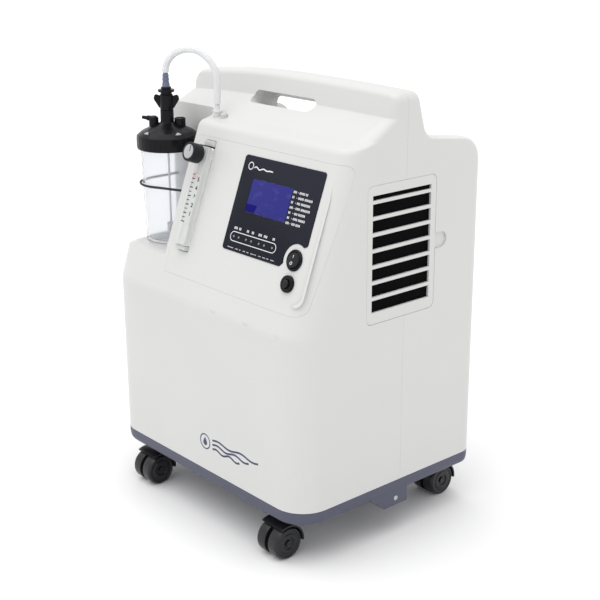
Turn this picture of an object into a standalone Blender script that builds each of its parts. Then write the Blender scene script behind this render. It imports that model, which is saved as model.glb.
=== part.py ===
"""Bedside oxygen concentrator, modelled as it comes apart on a bench.

Units are metres, +Z is up, the control panel faces -Y and the intake door +X. Heights are drawn
from a datum a few millimetres under the floor, and one root empty carries everything down by that
much, so that the wheels stand on z = 0 with the body's middle over the origin.
"""
import math

import bmesh
import bpy
import numpy as np
from mathutils import Matrix, Vector

# ---------------------------------------------------------------- driving dimensions
WIDTH = 0.380
DEPTH = 0.300
BODY_TOP = 0.5605
WALL = 0.003
GAP = 0.0004
FLOOR_Z = 0.0080

BASE_BOTTOM = 0.0640
BASE_TOP = 0.0798
SHELL_BOTTOM = 0.0803
TRAY_FLOOR = 0.0680
SEAM_Y = 0.0145

FRONT_RADIUS = 0.040
REAR_RADIUS = 0.020
CREST_ENDS = ((0.020, 0.0120), (0.012, 0.0035))

PANEL_TILT = math.radians(20.5)
PANEL_FOOT = (-0.1333, 0.3397)
PANEL_WALL = 0.0065
FASCIA_LEFT = -0.0790
FASCIA_BOTTOM = 0.3202
FASCIA_TOP = 0.4850

POCKET_RIGHT = -0.0860
POCKET_BACK = -0.0400
POCKET_CORNER = 0.020
SHELF_TOP = 0.3400
SHELF_ROUND = 0.026

SLOT_HALF = 0.058
SLOT_RADIUS = 0.0088
SLOT_MIDDLE = (0.004, -0.0150, 0.5300)
SLOT_TILT = math.radians(-18.0)
SCOOP = ((-0.168, 0.0270, 0.4760), (0.168, 0.2000, 0.5440))

DOOR_Y = (-0.0470, 0.0650)
DOOR_Z = (0.2940, 0.4580)
DOOR_CORNER = 0.008
DOOR_THICK = 0.0028

BOTTLE = (-0.1411, -0.0839)
OUTLET = (-0.0755, -0.0525)
STRAP_RADIUS = 0.0016

CASTERS = {"front_left": (-0.133, -0.122), "front_right": (0.133, -0.122),
           "rear_left": (-0.140, 0.140), "rear_right": (0.140, 0.140)}
CASTER_TRAIL = 0.012
WHEEL_RADIUS = 0.0205
WHEEL_WIDTH = 0.0160
WHEEL_STEPS = 20
AXLE_Z = FLOOR_Z + WHEEL_RADIUS * math.cos(math.pi / WHEEL_STEPS)
WEB_THICK = 0.005

COMPRESSOR = (-0.060, -0.045, 0.140)
FAN = (-0.045, -0.045)
DECK_Z = (0.2620, 0.2650)
BEDS = ((0.125, 0.100), (0.045, 0.100))
BED_RADIUS = 0.034
TANK = (-0.125, 0.095)
TANK_RADIUS = 0.040
INLET_X = -0.037
INLET_Z = 0.120

# ---------------------------------------------------------------- a clean start
for old in list(bpy.data.objects):
    bpy.data.objects.remove(old, do_unlink=True)

PARTS = bpy.data.collections.new("oxygen_concentrator")
CUTTERS = bpy.data.collections.new("cutters")
for collection in (PARTS, CUTTERS):
    bpy.context.scene.collection.children.link(collection)


# ---------------------------------------------------------------- materials
def material(name, colour, roughness, metallic=0.0, transmission=0.0):
    """A Principled material with plain values."""
    made = bpy.data.materials.new(name)
    made.use_nodes = True
    shader = made.node_tree.nodes["Principled BSDF"]
    shader.inputs["Base Color"].default_value = (*colour, 1.0)
    shader.inputs["Roughness"].default_value = roughness
    shader.inputs["Metallic"].default_value = metallic
    shader.inputs["Transmission Weight"].default_value = transmission
    made.diffuse_color = (*colour, 1.0)
    return made


WHITE_SHELL = material("white_shell", (0.80, 0.80, 0.79), 0.38)
GREY_BASE = material("grey_base", (0.12, 0.125, 0.165), 0.50)
BLACK_PLASTIC = material("black_plastic", (0.018, 0.018, 0.021), 0.35)
CASTER_BLACK = material("caster_black", (0.020, 0.020, 0.022), 0.50)
OVERLAY = material("overlay_film", (0.026, 0.026, 0.042), 0.30)
LCD_BLUE = material("lcd_blue", (0.045, 0.042, 0.270), 0.12)
CLEAR_ACRYLIC = material("clear_acrylic", (0.93, 0.95, 0.96), 0.05, transmission=1.0)
JAR_CLEAR = material("jar_clear", (0.90, 0.93, 0.96), 0.12, transmission=0.9)
TUBE_CLEAR = material("tube_clear", (0.88, 0.90, 0.92), 0.25, transmission=0.6)
ADAPTER_BLUE = material("adapter_blue", (0.17, 0.19, 0.32), 0.30)
STRAP_RUBBER = material("strap_rubber", (0.020, 0.020, 0.020), 0.65)
FOAM = material("filter_foam", (0.012, 0.012, 0.012), 0.95)
STEEL = material("zinc_steel", (0.55, 0.56, 0.58), 0.35, metallic=1.0)
CAST_ALUMINIUM = material("cast_aluminium", (0.52, 0.53, 0.54), 0.50, metallic=1.0)
DARK_MOTOR = material("motor_lacquer", (0.060, 0.065, 0.075), 0.45)
RUBBER = material("isolator_rubber", (0.025, 0.025, 0.025), 0.80)
BED_ALUMINIUM = material("bed_aluminium", (0.62, 0.63, 0.65), 0.30, metallic=1.0)
BOARD_GREEN = material("board_green", (0.020, 0.120, 0.050), 0.45)
COPPER = material("copper_tube", (0.72, 0.36, 0.22), 0.30, metallic=1.0)


# ---------------------------------------------------------------- small tools
def add(name, mesh, finish=None, at=None):
    """Link a mesh as an object, among the cutters when it has no finish."""
    thing = bpy.data.objects.new(name, mesh)
    if finish is None:
        CUTTERS.objects.link(thing)
        thing.hide_render = True
        thing.display_type = "WIRE"
    else:
        PARTS.objects.link(thing)
        mesh.materials.clear()
        mesh.materials.append(finish)
    if at is not None:
        thing.matrix_world = at if isinstance(at, Matrix) else Matrix.Translation(at)
    return thing


def boolean(target, tool, operation="DIFFERENCE"):
    """Cut, join or intersect the target with a tool, which becomes a guide."""
    step = target.modifiers.new(operation.lower(), "BOOLEAN")
    step.operation = operation
    step.object = tool
    step.solver = "EXACT"
    if tool.name not in CUTTERS.objects:
        PARTS.objects.unlink(tool)
        CUTTERS.objects.link(tool)
        tool.hide_render = True
        tool.display_type = "WIRE"
    return target


def smooth(thing, angle=35.0):
    """Shade round, with the edges past an angle kept crisp."""
    thing.data.shade_smooth()
    thing.data.set_sharp_from_angle(angle=math.radians(angle))
    return thing


def box(name, low, high, finish=None, at=None):
    """A block between two corners."""
    shape = bmesh.new()
    bmesh.ops.create_cube(shape, size=1.0)
    low, high = Vector(low), Vector(high)
    for vert in shape.verts:
        vert.co = Vector(((high[i] - low[i]) * vert.co[i] + (high[i] + low[i]) / 2 for i in range(3)))
    mesh = bpy.data.meshes.new(name)
    shape.to_mesh(mesh)
    shape.free()
    return add(name, mesh, finish, at)


def cylinder(name, radius, bottom, top, finish=None, at=None, steps=20, top_radius=None):
    """A capped cylinder or cone on its own Z axis."""
    shape = bmesh.new()
    bmesh.ops.create_cone(shape, cap_ends=True, segments=steps, radius1=radius,
                          radius2=radius if top_radius is None else top_radius, depth=top - bottom)
    bmesh.ops.translate(shape, verts=shape.verts, vec=(0.0, 0.0, (top + bottom) / 2))
    mesh = bpy.data.meshes.new(name)
    shape.to_mesh(mesh)
    shape.free()
    return add(name, mesh, finish, at)


def turned(name, profile, finish=None, at=None, steps=24, closed=False):
    """A profile of (radius, height) turned about Z, drawn down its outer side."""
    count = len(profile)
    edges = [(i, i + 1) for i in range(count - 1)]
    if closed:
        edges.append((count - 1, 0))
    mesh = bpy.data.meshes.new(name)
    mesh.from_pydata([(radius, 0.0, height) for radius, height in profile], edges, [])
    thing = add(name, mesh, finish, at)
    screw = thing.modifiers.new("turn", "SCREW")
    screw.steps = steps
    screw.render_steps = steps
    screw.use_merge_vertices = True
    screw.merge_threshold = 0.00002
    return thing


def arc(centre, radius, start, end, steps):
    """Points on a circle, with angles in degrees."""
    angles = np.radians(np.linspace(start, end, steps + 1))
    return [(centre[0] + radius * math.cos(a), centre[1] + radius * math.sin(a)) for a in angles]


def round_corners(corners, steps, closed=False):
    """A polyline through (a, b, radius) corners, each turned into a tangent arc."""
    points = []
    count = len(corners)
    for i, (a, b, radius) in enumerate(corners):
        here = Vector((a, b))
        if radius <= 0.0 or (not closed and i in (0, count - 1)):
            points.append((a, b))
            continue
        before = (Vector(corners[i - 1][:2]) - here).normalized()
        after = (Vector(corners[(i + 1) % count][:2]) - here).normalized()
        half = before.angle(after) / 2
        reach = radius / math.tan(half)
        start, end = here + before * reach, here + after * reach
        centre = here + (before + after).normalized() * (radius / math.sin(half))
        first, last = start - centre, end - centre
        sweep = first.angle_signed(last)
        for k in range(steps + 1):
            turn = -sweep * k / steps
            points.append((centre.x + first.x * math.cos(turn) - first.y * math.sin(turn),
                           centre.y + first.x * math.sin(turn) + first.y * math.cos(turn)))
    return points


def to_mesh(guide, name):
    """Turn a curve object into a welded mesh in world space and remove the curve."""
    bpy.context.view_layer.update()
    graph = bpy.context.evaluated_depsgraph_get()
    mesh = bpy.data.meshes.new_from_object(guide.evaluated_get(graph))
    mesh.transform(guide.matrix_world)
    mesh.name = name
    shape = bmesh.new()
    shape.from_mesh(mesh)
    bmesh.ops.remove_doubles(shape, verts=shape.verts, dist=0.00001)
    bmesh.ops.recalc_face_normals(shape, faces=shape.faces)
    shape.to_mesh(mesh)
    shape.free()
    bpy.data.objects.remove(guide, do_unlink=True)
    return mesh


def plate(name, outline, thickness, finish=None, at=None):
    """A flat outline in local XY, thickened evenly about z = 0."""
    curve = bpy.data.curves.new(name, "CURVE")
    curve.dimensions = "2D"
    curve.fill_mode = "BOTH"
    curve.extrude = thickness / 2
    spline = curve.splines.new("POLY")
    spline.points.add(len(outline) - 1)
    for point, (a, b) in zip(spline.points, outline):
        point.co = (a, b, 0.0, 1.0)
    spline.use_cyclic_u = True
    guide = bpy.data.objects.new(name, curve)
    CUTTERS.objects.link(guide)
    return add(name, to_mesh(guide, name), finish, at)


def wire(name, points, radius, finish, resolution=2):
    """A round wire or tube through the given points, with flat ends."""
    curve = bpy.data.curves.new(name, "CURVE")
    curve.dimensions = "3D"
    curve.bevel_depth = radius
    curve.bevel_resolution = resolution
    curve.use_fill_caps = True
    spline = curve.splines.new("POLY")
    spline.points.add(len(points) - 1)
    for point, place in zip(spline.points, points):
        point.co = (*place, 1.0)
    guide = bpy.data.objects.new(name, curve)
    CUTTERS.objects.link(guide)
    return smooth(add(name, to_mesh(guide, name), finish))


def smooth_route(points, steps):
    """Catmull-Rom curve through the points, with a number of steps between each two."""
    route = [Vector(p) for p in points]
    route = [2 * route[0] - route[1]] + route + [2 * route[-1] - route[-2]]
    path = []
    for i in range(1, len(route) - 2):
        a, b, c, d = route[i - 1:i + 3]
        for k in range(steps):
            t = k / steps
            path.append(0.5 * (2 * b + (c - a) * t + (2 * a - 5 * b + 4 * c - d) * t * t
                               + (3 * b - a - 3 * c + d) * t ** 3))
    path.append(route[-2])
    return path


# Local X goes to +Y and local Y to +Z: a plate drawn in (y, z), thick along X.
SIDE_PLANE = Matrix(((0, 0, 1, 0), (1, 0, 0, 0), (0, 1, 0, 0), (0, 0, 0, 1)))
# Local X stays +X and local Y goes to +Z: a plate drawn in (x, z), thick along -Y.
FRONT_PLANE = Matrix.Rotation(math.radians(90), 4, "X")
# Local X along the panel, local Y up its slope, local Z straight out of it.
PANEL = Matrix.Translation((0.0, *PANEL_FOOT)) @ Matrix.Rotation(math.radians(90) - PANEL_TILT, 4, "X")


def on_panel(x, up, out=0.0):
    """A place on the sloped panel, with local Z along its outward normal."""
    return PANEL @ Matrix.Translation((x, up, out))


# ---------------------------------------------------------------- the body's outer form
def front_profile():
    """The body's front edge seen from the side, as (y, z, radius) corners from the bottom up."""
    slope = math.tan(PANEL_TILT)
    foot_y, foot_z = PANEL_FOOT
    meet_z = foot_z + (-DEPTH / 2 - foot_y) / slope
    brow_z = 0.5005
    brow_y = foot_y + (brow_z - foot_z) * slope
    return [(-DEPTH / 2, 0.070, 0), (-DEPTH / 2, meet_z, 0.030), (brow_y, brow_z, 0.012),
            (-0.050, 0.5065, 0.030), (-0.0095, 0.5305, 0.004), (-0.0030, BODY_TOP, 0.008),
            (0.015, BODY_TOP, 0)]


def rear_profile():
    """The body's rear edge seen from the side, from the bottom up."""
    return [(DEPTH / 2, 0.070, 0), (DEPTH / 2, 0.4895, 0.034), (0.0535, 0.5015, 0.022),
            (0.0335, BODY_TOP, 0.010), (0.015, BODY_TOP, 0)]


def inset_profile(corners, steps, inset, side):
    """Round a profile's corners and move it inwards, square to each stretch."""
    line = np.array(round_corners(corners, steps))
    along = np.diff(line, axis=0)
    along /= np.linalg.norm(along, axis=1, keepdims=True)
    normal = side * np.stack([along[:, 1], -along[:, 0]], axis=1)
    before = np.vstack([normal[:1], normal])
    after = np.vstack([normal, normal[-1:]])
    spread = 1.0 + np.sum(before * after, axis=1, keepdims=True)
    return (line + inset * (before + after) / spread)[:-1]


def plan_ring(left, right, front, rear, front_radius, rear_radius, corner_steps, span_steps):
    """A rounded rectangle seen from above: front edge left to right, rear edge right to left."""
    quarter = np.linspace(0.0, math.pi / 2, corner_steps + 1)
    inner = np.linspace(left + front_radius, right - front_radius, span_steps + 1)[1:-1]
    parts = []
    for centre, radius, start in (
            ((left + front_radius, front + front_radius), front_radius, math.pi),
            ((right - front_radius, front + front_radius), front_radius, 1.5 * math.pi),
            ((right - rear_radius, rear - rear_radius), rear_radius, 0.0),
            ((left + rear_radius, rear - rear_radius), rear_radius, 0.5 * math.pi)):
        turn = start + quarter
        parts.append(np.stack([centre[0] + radius * np.cos(turn),
                               centre[1] + radius * np.sin(turn)], axis=1))
    front_run = np.stack([inner, np.full_like(inner, front)], axis=1)
    rear_run = np.stack([inner[::-1], np.full_like(inner, rear)], axis=1)
    return np.vstack([parts[0], front_run, parts[1], parts[2], rear_run, parts[3]])


def loft(name, rings, finish=None):
    """Skin rings of equal count from the bottom up, and close both ends with strips."""
    rings = np.asarray(rings)
    levels, count = rings.shape[:2]
    faces = []
    for level in range(levels - 1):
        base = level * count
        for i in range(count):
            j = (i + 1) % count
            faces.append((base + i, base + j, base + count + j, base + count + i))
    top = (levels - 1) * count
    for i in range(count // 2 - 1):
        k = count - 1 - i
        faces.append((top + i, top + i + 1, top + k - 1, top + k))
        faces.append((k, k - 1, i + 1, i))
    mesh = bpy.data.meshes.new(name)
    mesh.from_pydata(rings.reshape(-1, 3).tolist(), [], faces)
    mesh.validate()
    return add(name, mesh, finish)


def crest_reach(z, radius, inset):
    """How far the body reaches from its middle at a height, at an end of the crest with this radius."""
    rise = max(0.0, z - (BODY_TOP - radius))
    return WIDTH / 2 - radius + math.sqrt(max(0.0, (radius - inset) ** 2 - rise ** 2))


def body_loft(name, inset, bottom, finish=None):
    """The body's form, moved inwards by inset: rounded plans stacked up the side profile.

    The half width closes in a quarter circle at each of the crest's ends, and the crest is lowered
    towards them by the square of x, more on the left.
    """
    front = inset_profile(front_profile(), 3, inset, 1.0)
    rear = inset_profile(rear_profile(), 4, inset, -1.0)
    ends = [BODY_TOP - radius + (radius - inset) * np.sin(np.radians([30.0, 60.0, 80.0]))
            for radius, _ in CREST_ENDS]
    levels = np.unique(np.round(np.concatenate([front[:, 1], rear[:, 1], *ends]), 5))
    levels = levels[levels > bottom + 0.001]
    levels = np.concatenate([[bottom], levels[:-1][np.diff(levels) > 0.0006], levels[-1:]])
    rings = []
    for z in levels:
        left, right = (crest_reach(z, radius, inset) for radius, _ in CREST_ENDS)
        y_front = np.interp(z, front[:, 1], front[:, 0])
        y_rear = np.interp(z, rear[:, 1], rear[:, 0])
        r_front = np.interp(z, [0.30, 0.34, 0.50, 0.54, BODY_TOP],
                            [FRONT_RADIUS, 0.024, 0.022, 0.012, 0.008]) - inset
        r_rear = np.interp(z, [0.46, 0.51, 0.54, BODY_TOP], [REAR_RADIUS, 0.014, 0.010, 0.007]) - inset
        ring = plan_ring(-left, right, y_front, y_rear, r_front, r_rear, 4, 8)
        share = min(1.0, max(0.0, (z - 0.500) / (BODY_TOP - 0.500)))
        arch = np.where(ring[:, 0] < 0.0, CREST_ENDS[0][1], CREST_ENDS[1][1])
        drop = arch * (ring[:, 0] * 2 / WIDTH) ** 2 * share ** 2 * (3 - 2 * share)
        rings.append(np.column_stack([ring, z - drop]))
    return loft(name, rings, finish)


def pocket(name, grow):
    """The bottle's pocket: open above, in front and to the left, over a round-shouldered shelf."""
    outline = round_corners([(-0.300, -0.300, 0), (POCKET_RIGHT + grow, -0.300, 0),
                             (POCKET_RIGHT + grow, POCKET_BACK + grow, POCKET_CORNER - grow),
                             (-0.300, POCKET_BACK + grow, 0)], 5, closed=True)
    low, high = 0.300, 0.620
    space = plate(name, outline, high - low, at=(0.0, 0.0, (low + high) / 2))
    top = SHELF_TOP - grow
    radius = SHELF_ROUND - grow
    edge = 0.001
    rings = []
    for angle in np.radians(np.linspace(0.0, 90.0, 7)):
        inset = grow - edge + radius * (1.0 - math.cos(angle))
        ring = plan_ring(-WIDTH / 2 + inset, 0.0, -DEPTH / 2 + inset, 0.050,
                         max(0.004, FRONT_RADIUS - inset), 0.010, 5, 3)
        rings.append(np.column_stack([ring, np.full(len(ring), top - radius * (1.0 - math.sin(angle)))]))
    foot = rings[0].copy()
    foot[:, 2] = 0.280
    shelf = loft(name + "_shelf", [foot] + rings)
    return boolean(space, shelf)


def slot_cutter(name, grow, reach):
    """The handle's hand hole: a stadium that runs through the crest, downwards to the rear."""
    radius = SLOT_RADIUS + grow
    side = SLOT_HALF - SLOT_RADIUS
    outline = arc((side, 0.0), radius, -90, 90, 6) + arc((-side, 0.0), radius, 90, 270, 6)
    tilt = Matrix.Rotation(SLOT_TILT, 4, "X")
    middle = Matrix.Translation((0.0, sum(reach) / 2, 0.0))
    return plate(name, outline, reach[1] - reach[0],
                 at=Matrix.Translation(SLOT_MIDDLE) @ tilt @ middle @ FRONT_PLANE)


def rear_scoop(name, grow):
    """The hollow behind the crest, open above and to the rear, where the fingers come through."""
    low, high = SCOOP
    outline = round_corners([(low[0] - grow, low[1] - grow, 0.012 + grow), (high[0] + grow, low[1] - grow, 0.012 + grow),
                             (high[0] + grow, high[1], 0), (low[0] - grow, high[1], 0)], 3, closed=True)
    return plate(name, outline, high[2] - low[2] + 2 * grow, at=(0.0, 0.0, (low[2] + high[2]) / 2))


def fascia_zone(name, margin):
    """What the sloped control fascia takes out of the body, with a margin all round."""
    lean = 0.411
    back = -0.1178 + lean * (FASCIA_BOTTOM - 0.349)
    back_top = -0.1178 + lean * (FASCIA_TOP - 0.349)
    outline = round_corners([(-0.200, FASCIA_BOTTOM - margin, 0),
                             (back + margin, FASCIA_BOTTOM - margin, 0.018),
                             (back_top + margin, FASCIA_TOP + margin, 0.009),
                             (-0.200, FASCIA_TOP + margin, 0)], 4, closed=True)
    left = FASCIA_LEFT - margin
    right = 0.220
    place = Matrix.Translation(((left + right) / 2, 0.0, 0.0)) @ SIDE_PLANE
    return plate(name, outline, right - left, at=place)


def door_outline(margin, y_range=DOOR_Y, z_range=DOOR_Z, radius=DOOR_CORNER):
    """The intake door's rounded outline in (y, z)."""
    low_y, high_y = y_range[0] - margin, y_range[1] + margin
    low_z, high_z = z_range[0] - margin, z_range[1] + margin
    return round_corners([(low_y, low_z, radius), (high_y, low_z, radius),
                          (high_y, high_z, radius), (low_y, high_z, radius)], 3, closed=True)


def finger_recess():
    """The D-shaped hollow behind the door's free edge."""
    middle = sum((0.3665, 0.3856)) / 2
    radius = 0.0095
    outline = [(DOOR_Y[1] - 0.002, middle - radius)] + arc((0.0745, middle), radius, -90, 90, 8)
    outline.append((DOOR_Y[1] - 0.002, middle + radius))
    place = Matrix.Translation((WIDTH / 2, 0.0, 0.0)) @ SIDE_PLANE
    return plate("finger_recess_cut", outline, 0.004, at=place)


def make_shells():
    """Front shell, rear shell and fascia, cut from one form so that their seams follow it."""
    pocket_outer = pocket("pocket_cut", 0.0)
    cavity = body_loft("cavity", WALL, 0.060)
    boolean(cavity, pocket("pocket_wall_cut", WALL))
    boolean(cavity, slot_cutter("slot_wall", WALL, (-0.080, 0.050)))
    boolean(cavity, rear_scoop("scoop_wall", WALL))
    slot = slot_cutter("slot_cut", 0.0, (-0.080, 0.050))
    door_hole = plate("door_cut", door_outline(GAP), 0.030,
                      at=Matrix.Translation((WIDTH / 2, 0.0, 0.0)) @ SIDE_PLANE)
    half = 0.00020
    behind = box("behind_seam", (-0.30, SEAM_Y - half, 0.0), (0.30, 0.30, 0.70))
    ahead = box("ahead_of_seam", (-0.30, -0.30, 0.0), (0.30, SEAM_Y + half, 0.70))

    front = body_loft("front_shell", 0.0, SHELL_BOTTOM, WHITE_SHELL)
    outlet_hole = cylinder("outlet_hole", 0.0053, 0.480, 0.540, at=(*OUTLET, 0.0), steps=16)
    for tool in (behind, cavity, pocket_outer, slot, fascia_zone("fascia_cut", GAP), door_hole,
                 outlet_hole):
        boolean(front, tool)
    smooth(front)

    rear = body_loft("rear_shell", 0.0, SHELL_BOTTOM, WHITE_SHELL)
    inlet_hole = box("inlet_hole", (INLET_X - 0.0145, 0.130, INLET_Z - 0.0125),
                     (INLET_X + 0.0145, 0.170, INLET_Z + 0.0125))
    flange_seat = box("flange_seat", (INLET_X - 0.0204, DEPTH / 2 - 0.0018, INLET_Z - 0.0154),
                      (INLET_X + 0.0204, 0.170, INLET_Z + 0.0154))
    for tool in (ahead, cavity, slot, rear_scoop("scoop_cut", 0.0), door_hole, finger_recess(), inlet_hole,
                 flange_seat):
        boolean(rear, tool)
    for row in range(5):
        low = 0.100 + 0.013 * row
        boolean(rear, box(f"exhaust_cut_{row}", (0.020, 0.130, low), (0.140, 0.170, low + 0.006)))
    smooth(rear)

    fascia = body_loft("fascia_panel", 0.0, SHELL_BOTTOM, WHITE_SHELL)
    boolean(fascia, fascia_zone("fascia_keep", 0.0), "INTERSECT")
    boolean(fascia, body_loft("fascia_inside", PANEL_WALL, 0.060))
    side = FLOW_HALF + 0.0020
    boolean(fascia, box("flow_recess", (FLOW_X - side, FLOW_RECESS[0], -0.0043),
                        (FLOW_X + side, FLOW_RECESS[1], 0.02), at=PANEL))
    boolean(fascia, cylinder("switch_hole", SWITCH_BODY + 0.0003, -0.02, 0.02,
                             at=on_panel(*SWITCH), steps=20))
    boolean(fascia, cylinder("breaker_hole", BREAKER_BODY + 0.0003, -0.02, 0.02,
                             at=on_panel(*BREAKER), steps=20))
    boolean(fascia, plate("label_recess", label_outline(0.0003), 0.0010, at=on_panel(0.0, 0.0, 0.0)))
    for hole in range(3):
        x = DIMPLES[hole]
        place = Matrix.Translation((x, -DEPTH / 2, DIMPLE_Z)) @ FRONT_PLANE
        boolean(front, cylinder(f"dimple_{hole}", 0.006, -0.0010, 0.010, at=place, steps=16))
    smooth(fascia)


# ---------------------------------------------------------------- what sits on the sloped panel
SWITCH = (0.1479, 0.0413)
SWITCH_FLANGE = 0.0125
SWITCH_BODY = 0.0105
BREAKER = (0.1473, 0.0137)
BREAKER_BODY = 0.0070
BREAKER_NUT = 0.0101
FLOW_X = -0.0520
FLOW_V = (0.0175, 0.1420)
FLOW_HALF = 0.0095
FLOW_RECESS = (0.0100, 0.1515)
FLOW_KNOB_V = 0.1305
FLOAT_V = 0.0442
FLOAT_BORE_OUT = 0.0030
LABEL_X = (0.0200, 0.1625)
LABEL_V = (0.0297, 0.1445)
LABEL_BITE = 0.0190
LCD_X = (0.0435, 0.1155)
LCD_V = (0.0790, 0.1185)
DIMPLES = (0.033, 0.095, 0.1525)
DIMPLE_Z = 0.2970


def label_outline(grow):
    """The overlay's outline: a rounded rectangle with a bite round the power switch."""
    left, right = LABEL_X[0] - grow, LABEL_X[1] + grow
    low, high = LABEL_V[0] - grow, LABEL_V[1] + grow
    bite = [(x, v, 0.0) for x, v in arc(SWITCH, LABEL_BITE - grow, 200, 60, 9)]
    return round_corners([(left, low, 0.004), (0.1250 + grow, low, 0.003), *bite,
                          (right, 0.0600 - grow, 0.003), (right, high, 0.004), (left, high, 0.004)],
                         4, closed=True)


def make_panel_parts():
    """Overlay, display window, power switch, breaker and flowmeter."""
    label = plate("control_label", label_outline(0.0), 0.0010, OVERLAY, at=on_panel(0.0, 0.0, 0.0004))
    window = [(LCD_X[0], LCD_V[0], 0.001), (LCD_X[1], LCD_V[0], 0.001), (LCD_X[1], LCD_V[1], 0.001),
              (LCD_X[0], LCD_V[1], 0.001)]
    gap = 0.0003
    boolean(label, box("lcd_cut", (LCD_X[0] - gap, LCD_V[0] - gap, -0.01),
                       (LCD_X[1] + gap, LCD_V[1] + gap, 0.01), at=PANEL))
    plate("lcd_window", round_corners(window, 2, closed=True), 0.0009, LCD_BLUE,
          at=on_panel(0.0, 0.0, 0.00035))

    rim = 0.0021
    turned("switch_bezel", [(0.0098, rim), (SWITCH_FLANGE - 0.001, rim), (SWITCH_FLANGE, 0.0010),
                            (SWITCH_FLANGE, 0.0003), (SWITCH_BODY, 0.0003), (SWITCH_BODY, -0.0150),
                            (0.0085, -0.0150), (0.0085, -0.0060), (0.0098, -0.0060)],
           BLACK_PLASTIC, on_panel(*SWITCH), 20, closed=True)
    tilt = Matrix.Rotation(math.radians(-8.0), 4, "X")
    cylinder("switch_rocker", 0.0092, -0.0025, 0.0020, BLACK_PLASTIC,
             on_panel(*SWITCH, 0.0012) @ tilt, 20)

    turned("breaker_body", [(0.0052, 0.0040), (BREAKER_NUT - 0.0015, 0.0040), (BREAKER_NUT, 0.0025),
                            (BREAKER_NUT, 0.0003), (BREAKER_BODY, 0.0003), (BREAKER_BODY, -0.0220),
                            (0.0045, -0.0220), (0.0045, -0.0080), (0.0052, -0.0080)],
           BLACK_PLASTIC, on_panel(*BREAKER), 20, closed=True)
    turned("breaker_button", [(0.0, 0.0065), (0.0035, 0.0065), (0.0047, 0.0055), (0.0047, -0.0070),
                              (0.0, -0.0070)], BLACK_PLASTIC, on_panel(*BREAKER), 16)

    block = box("flowmeter_block", (-FLOW_HALF, FLOW_V[0], -0.0040), (FLOW_HALF, FLOW_V[1], 0.0092),
                CLEAR_ACRYLIC, on_panel(FLOW_X, 0.0))
    along = Matrix.Rotation(math.radians(-90), 4, "X")
    boolean(block, cylinder("float_bore", 0.0036, 0.0, 0.20,
                            at=on_panel(FLOW_X, 0.0, FLOAT_BORE_OUT) @ along, steps=12))
    boolean(block, cylinder("valve_bore", 0.0031, 0.0067, 0.02,
                            at=on_panel(FLOW_X, FLOW_KNOB_V), steps=12))
    turned("flow_float", [(0.0030 * math.sin(a), 0.0030 * math.cos(a))
                          for a in np.linspace(0.0, math.pi, 9)], BLACK_PLASTIC,
           on_panel(FLOW_X, FLOAT_V, FLOAT_BORE_OUT), 12)
    turned("flow_knob", [(0.0, 0.0280), (0.0100, 0.0280), (0.0118, 0.0267), (0.0120, 0.0130),
                         (0.0112, 0.0114), (0.0027, 0.0114), (0.0027, 0.0070), (0.0, 0.0070)],
           BLACK_PLASTIC, on_panel(FLOW_X, FLOW_KNOB_V), 24)


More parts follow.
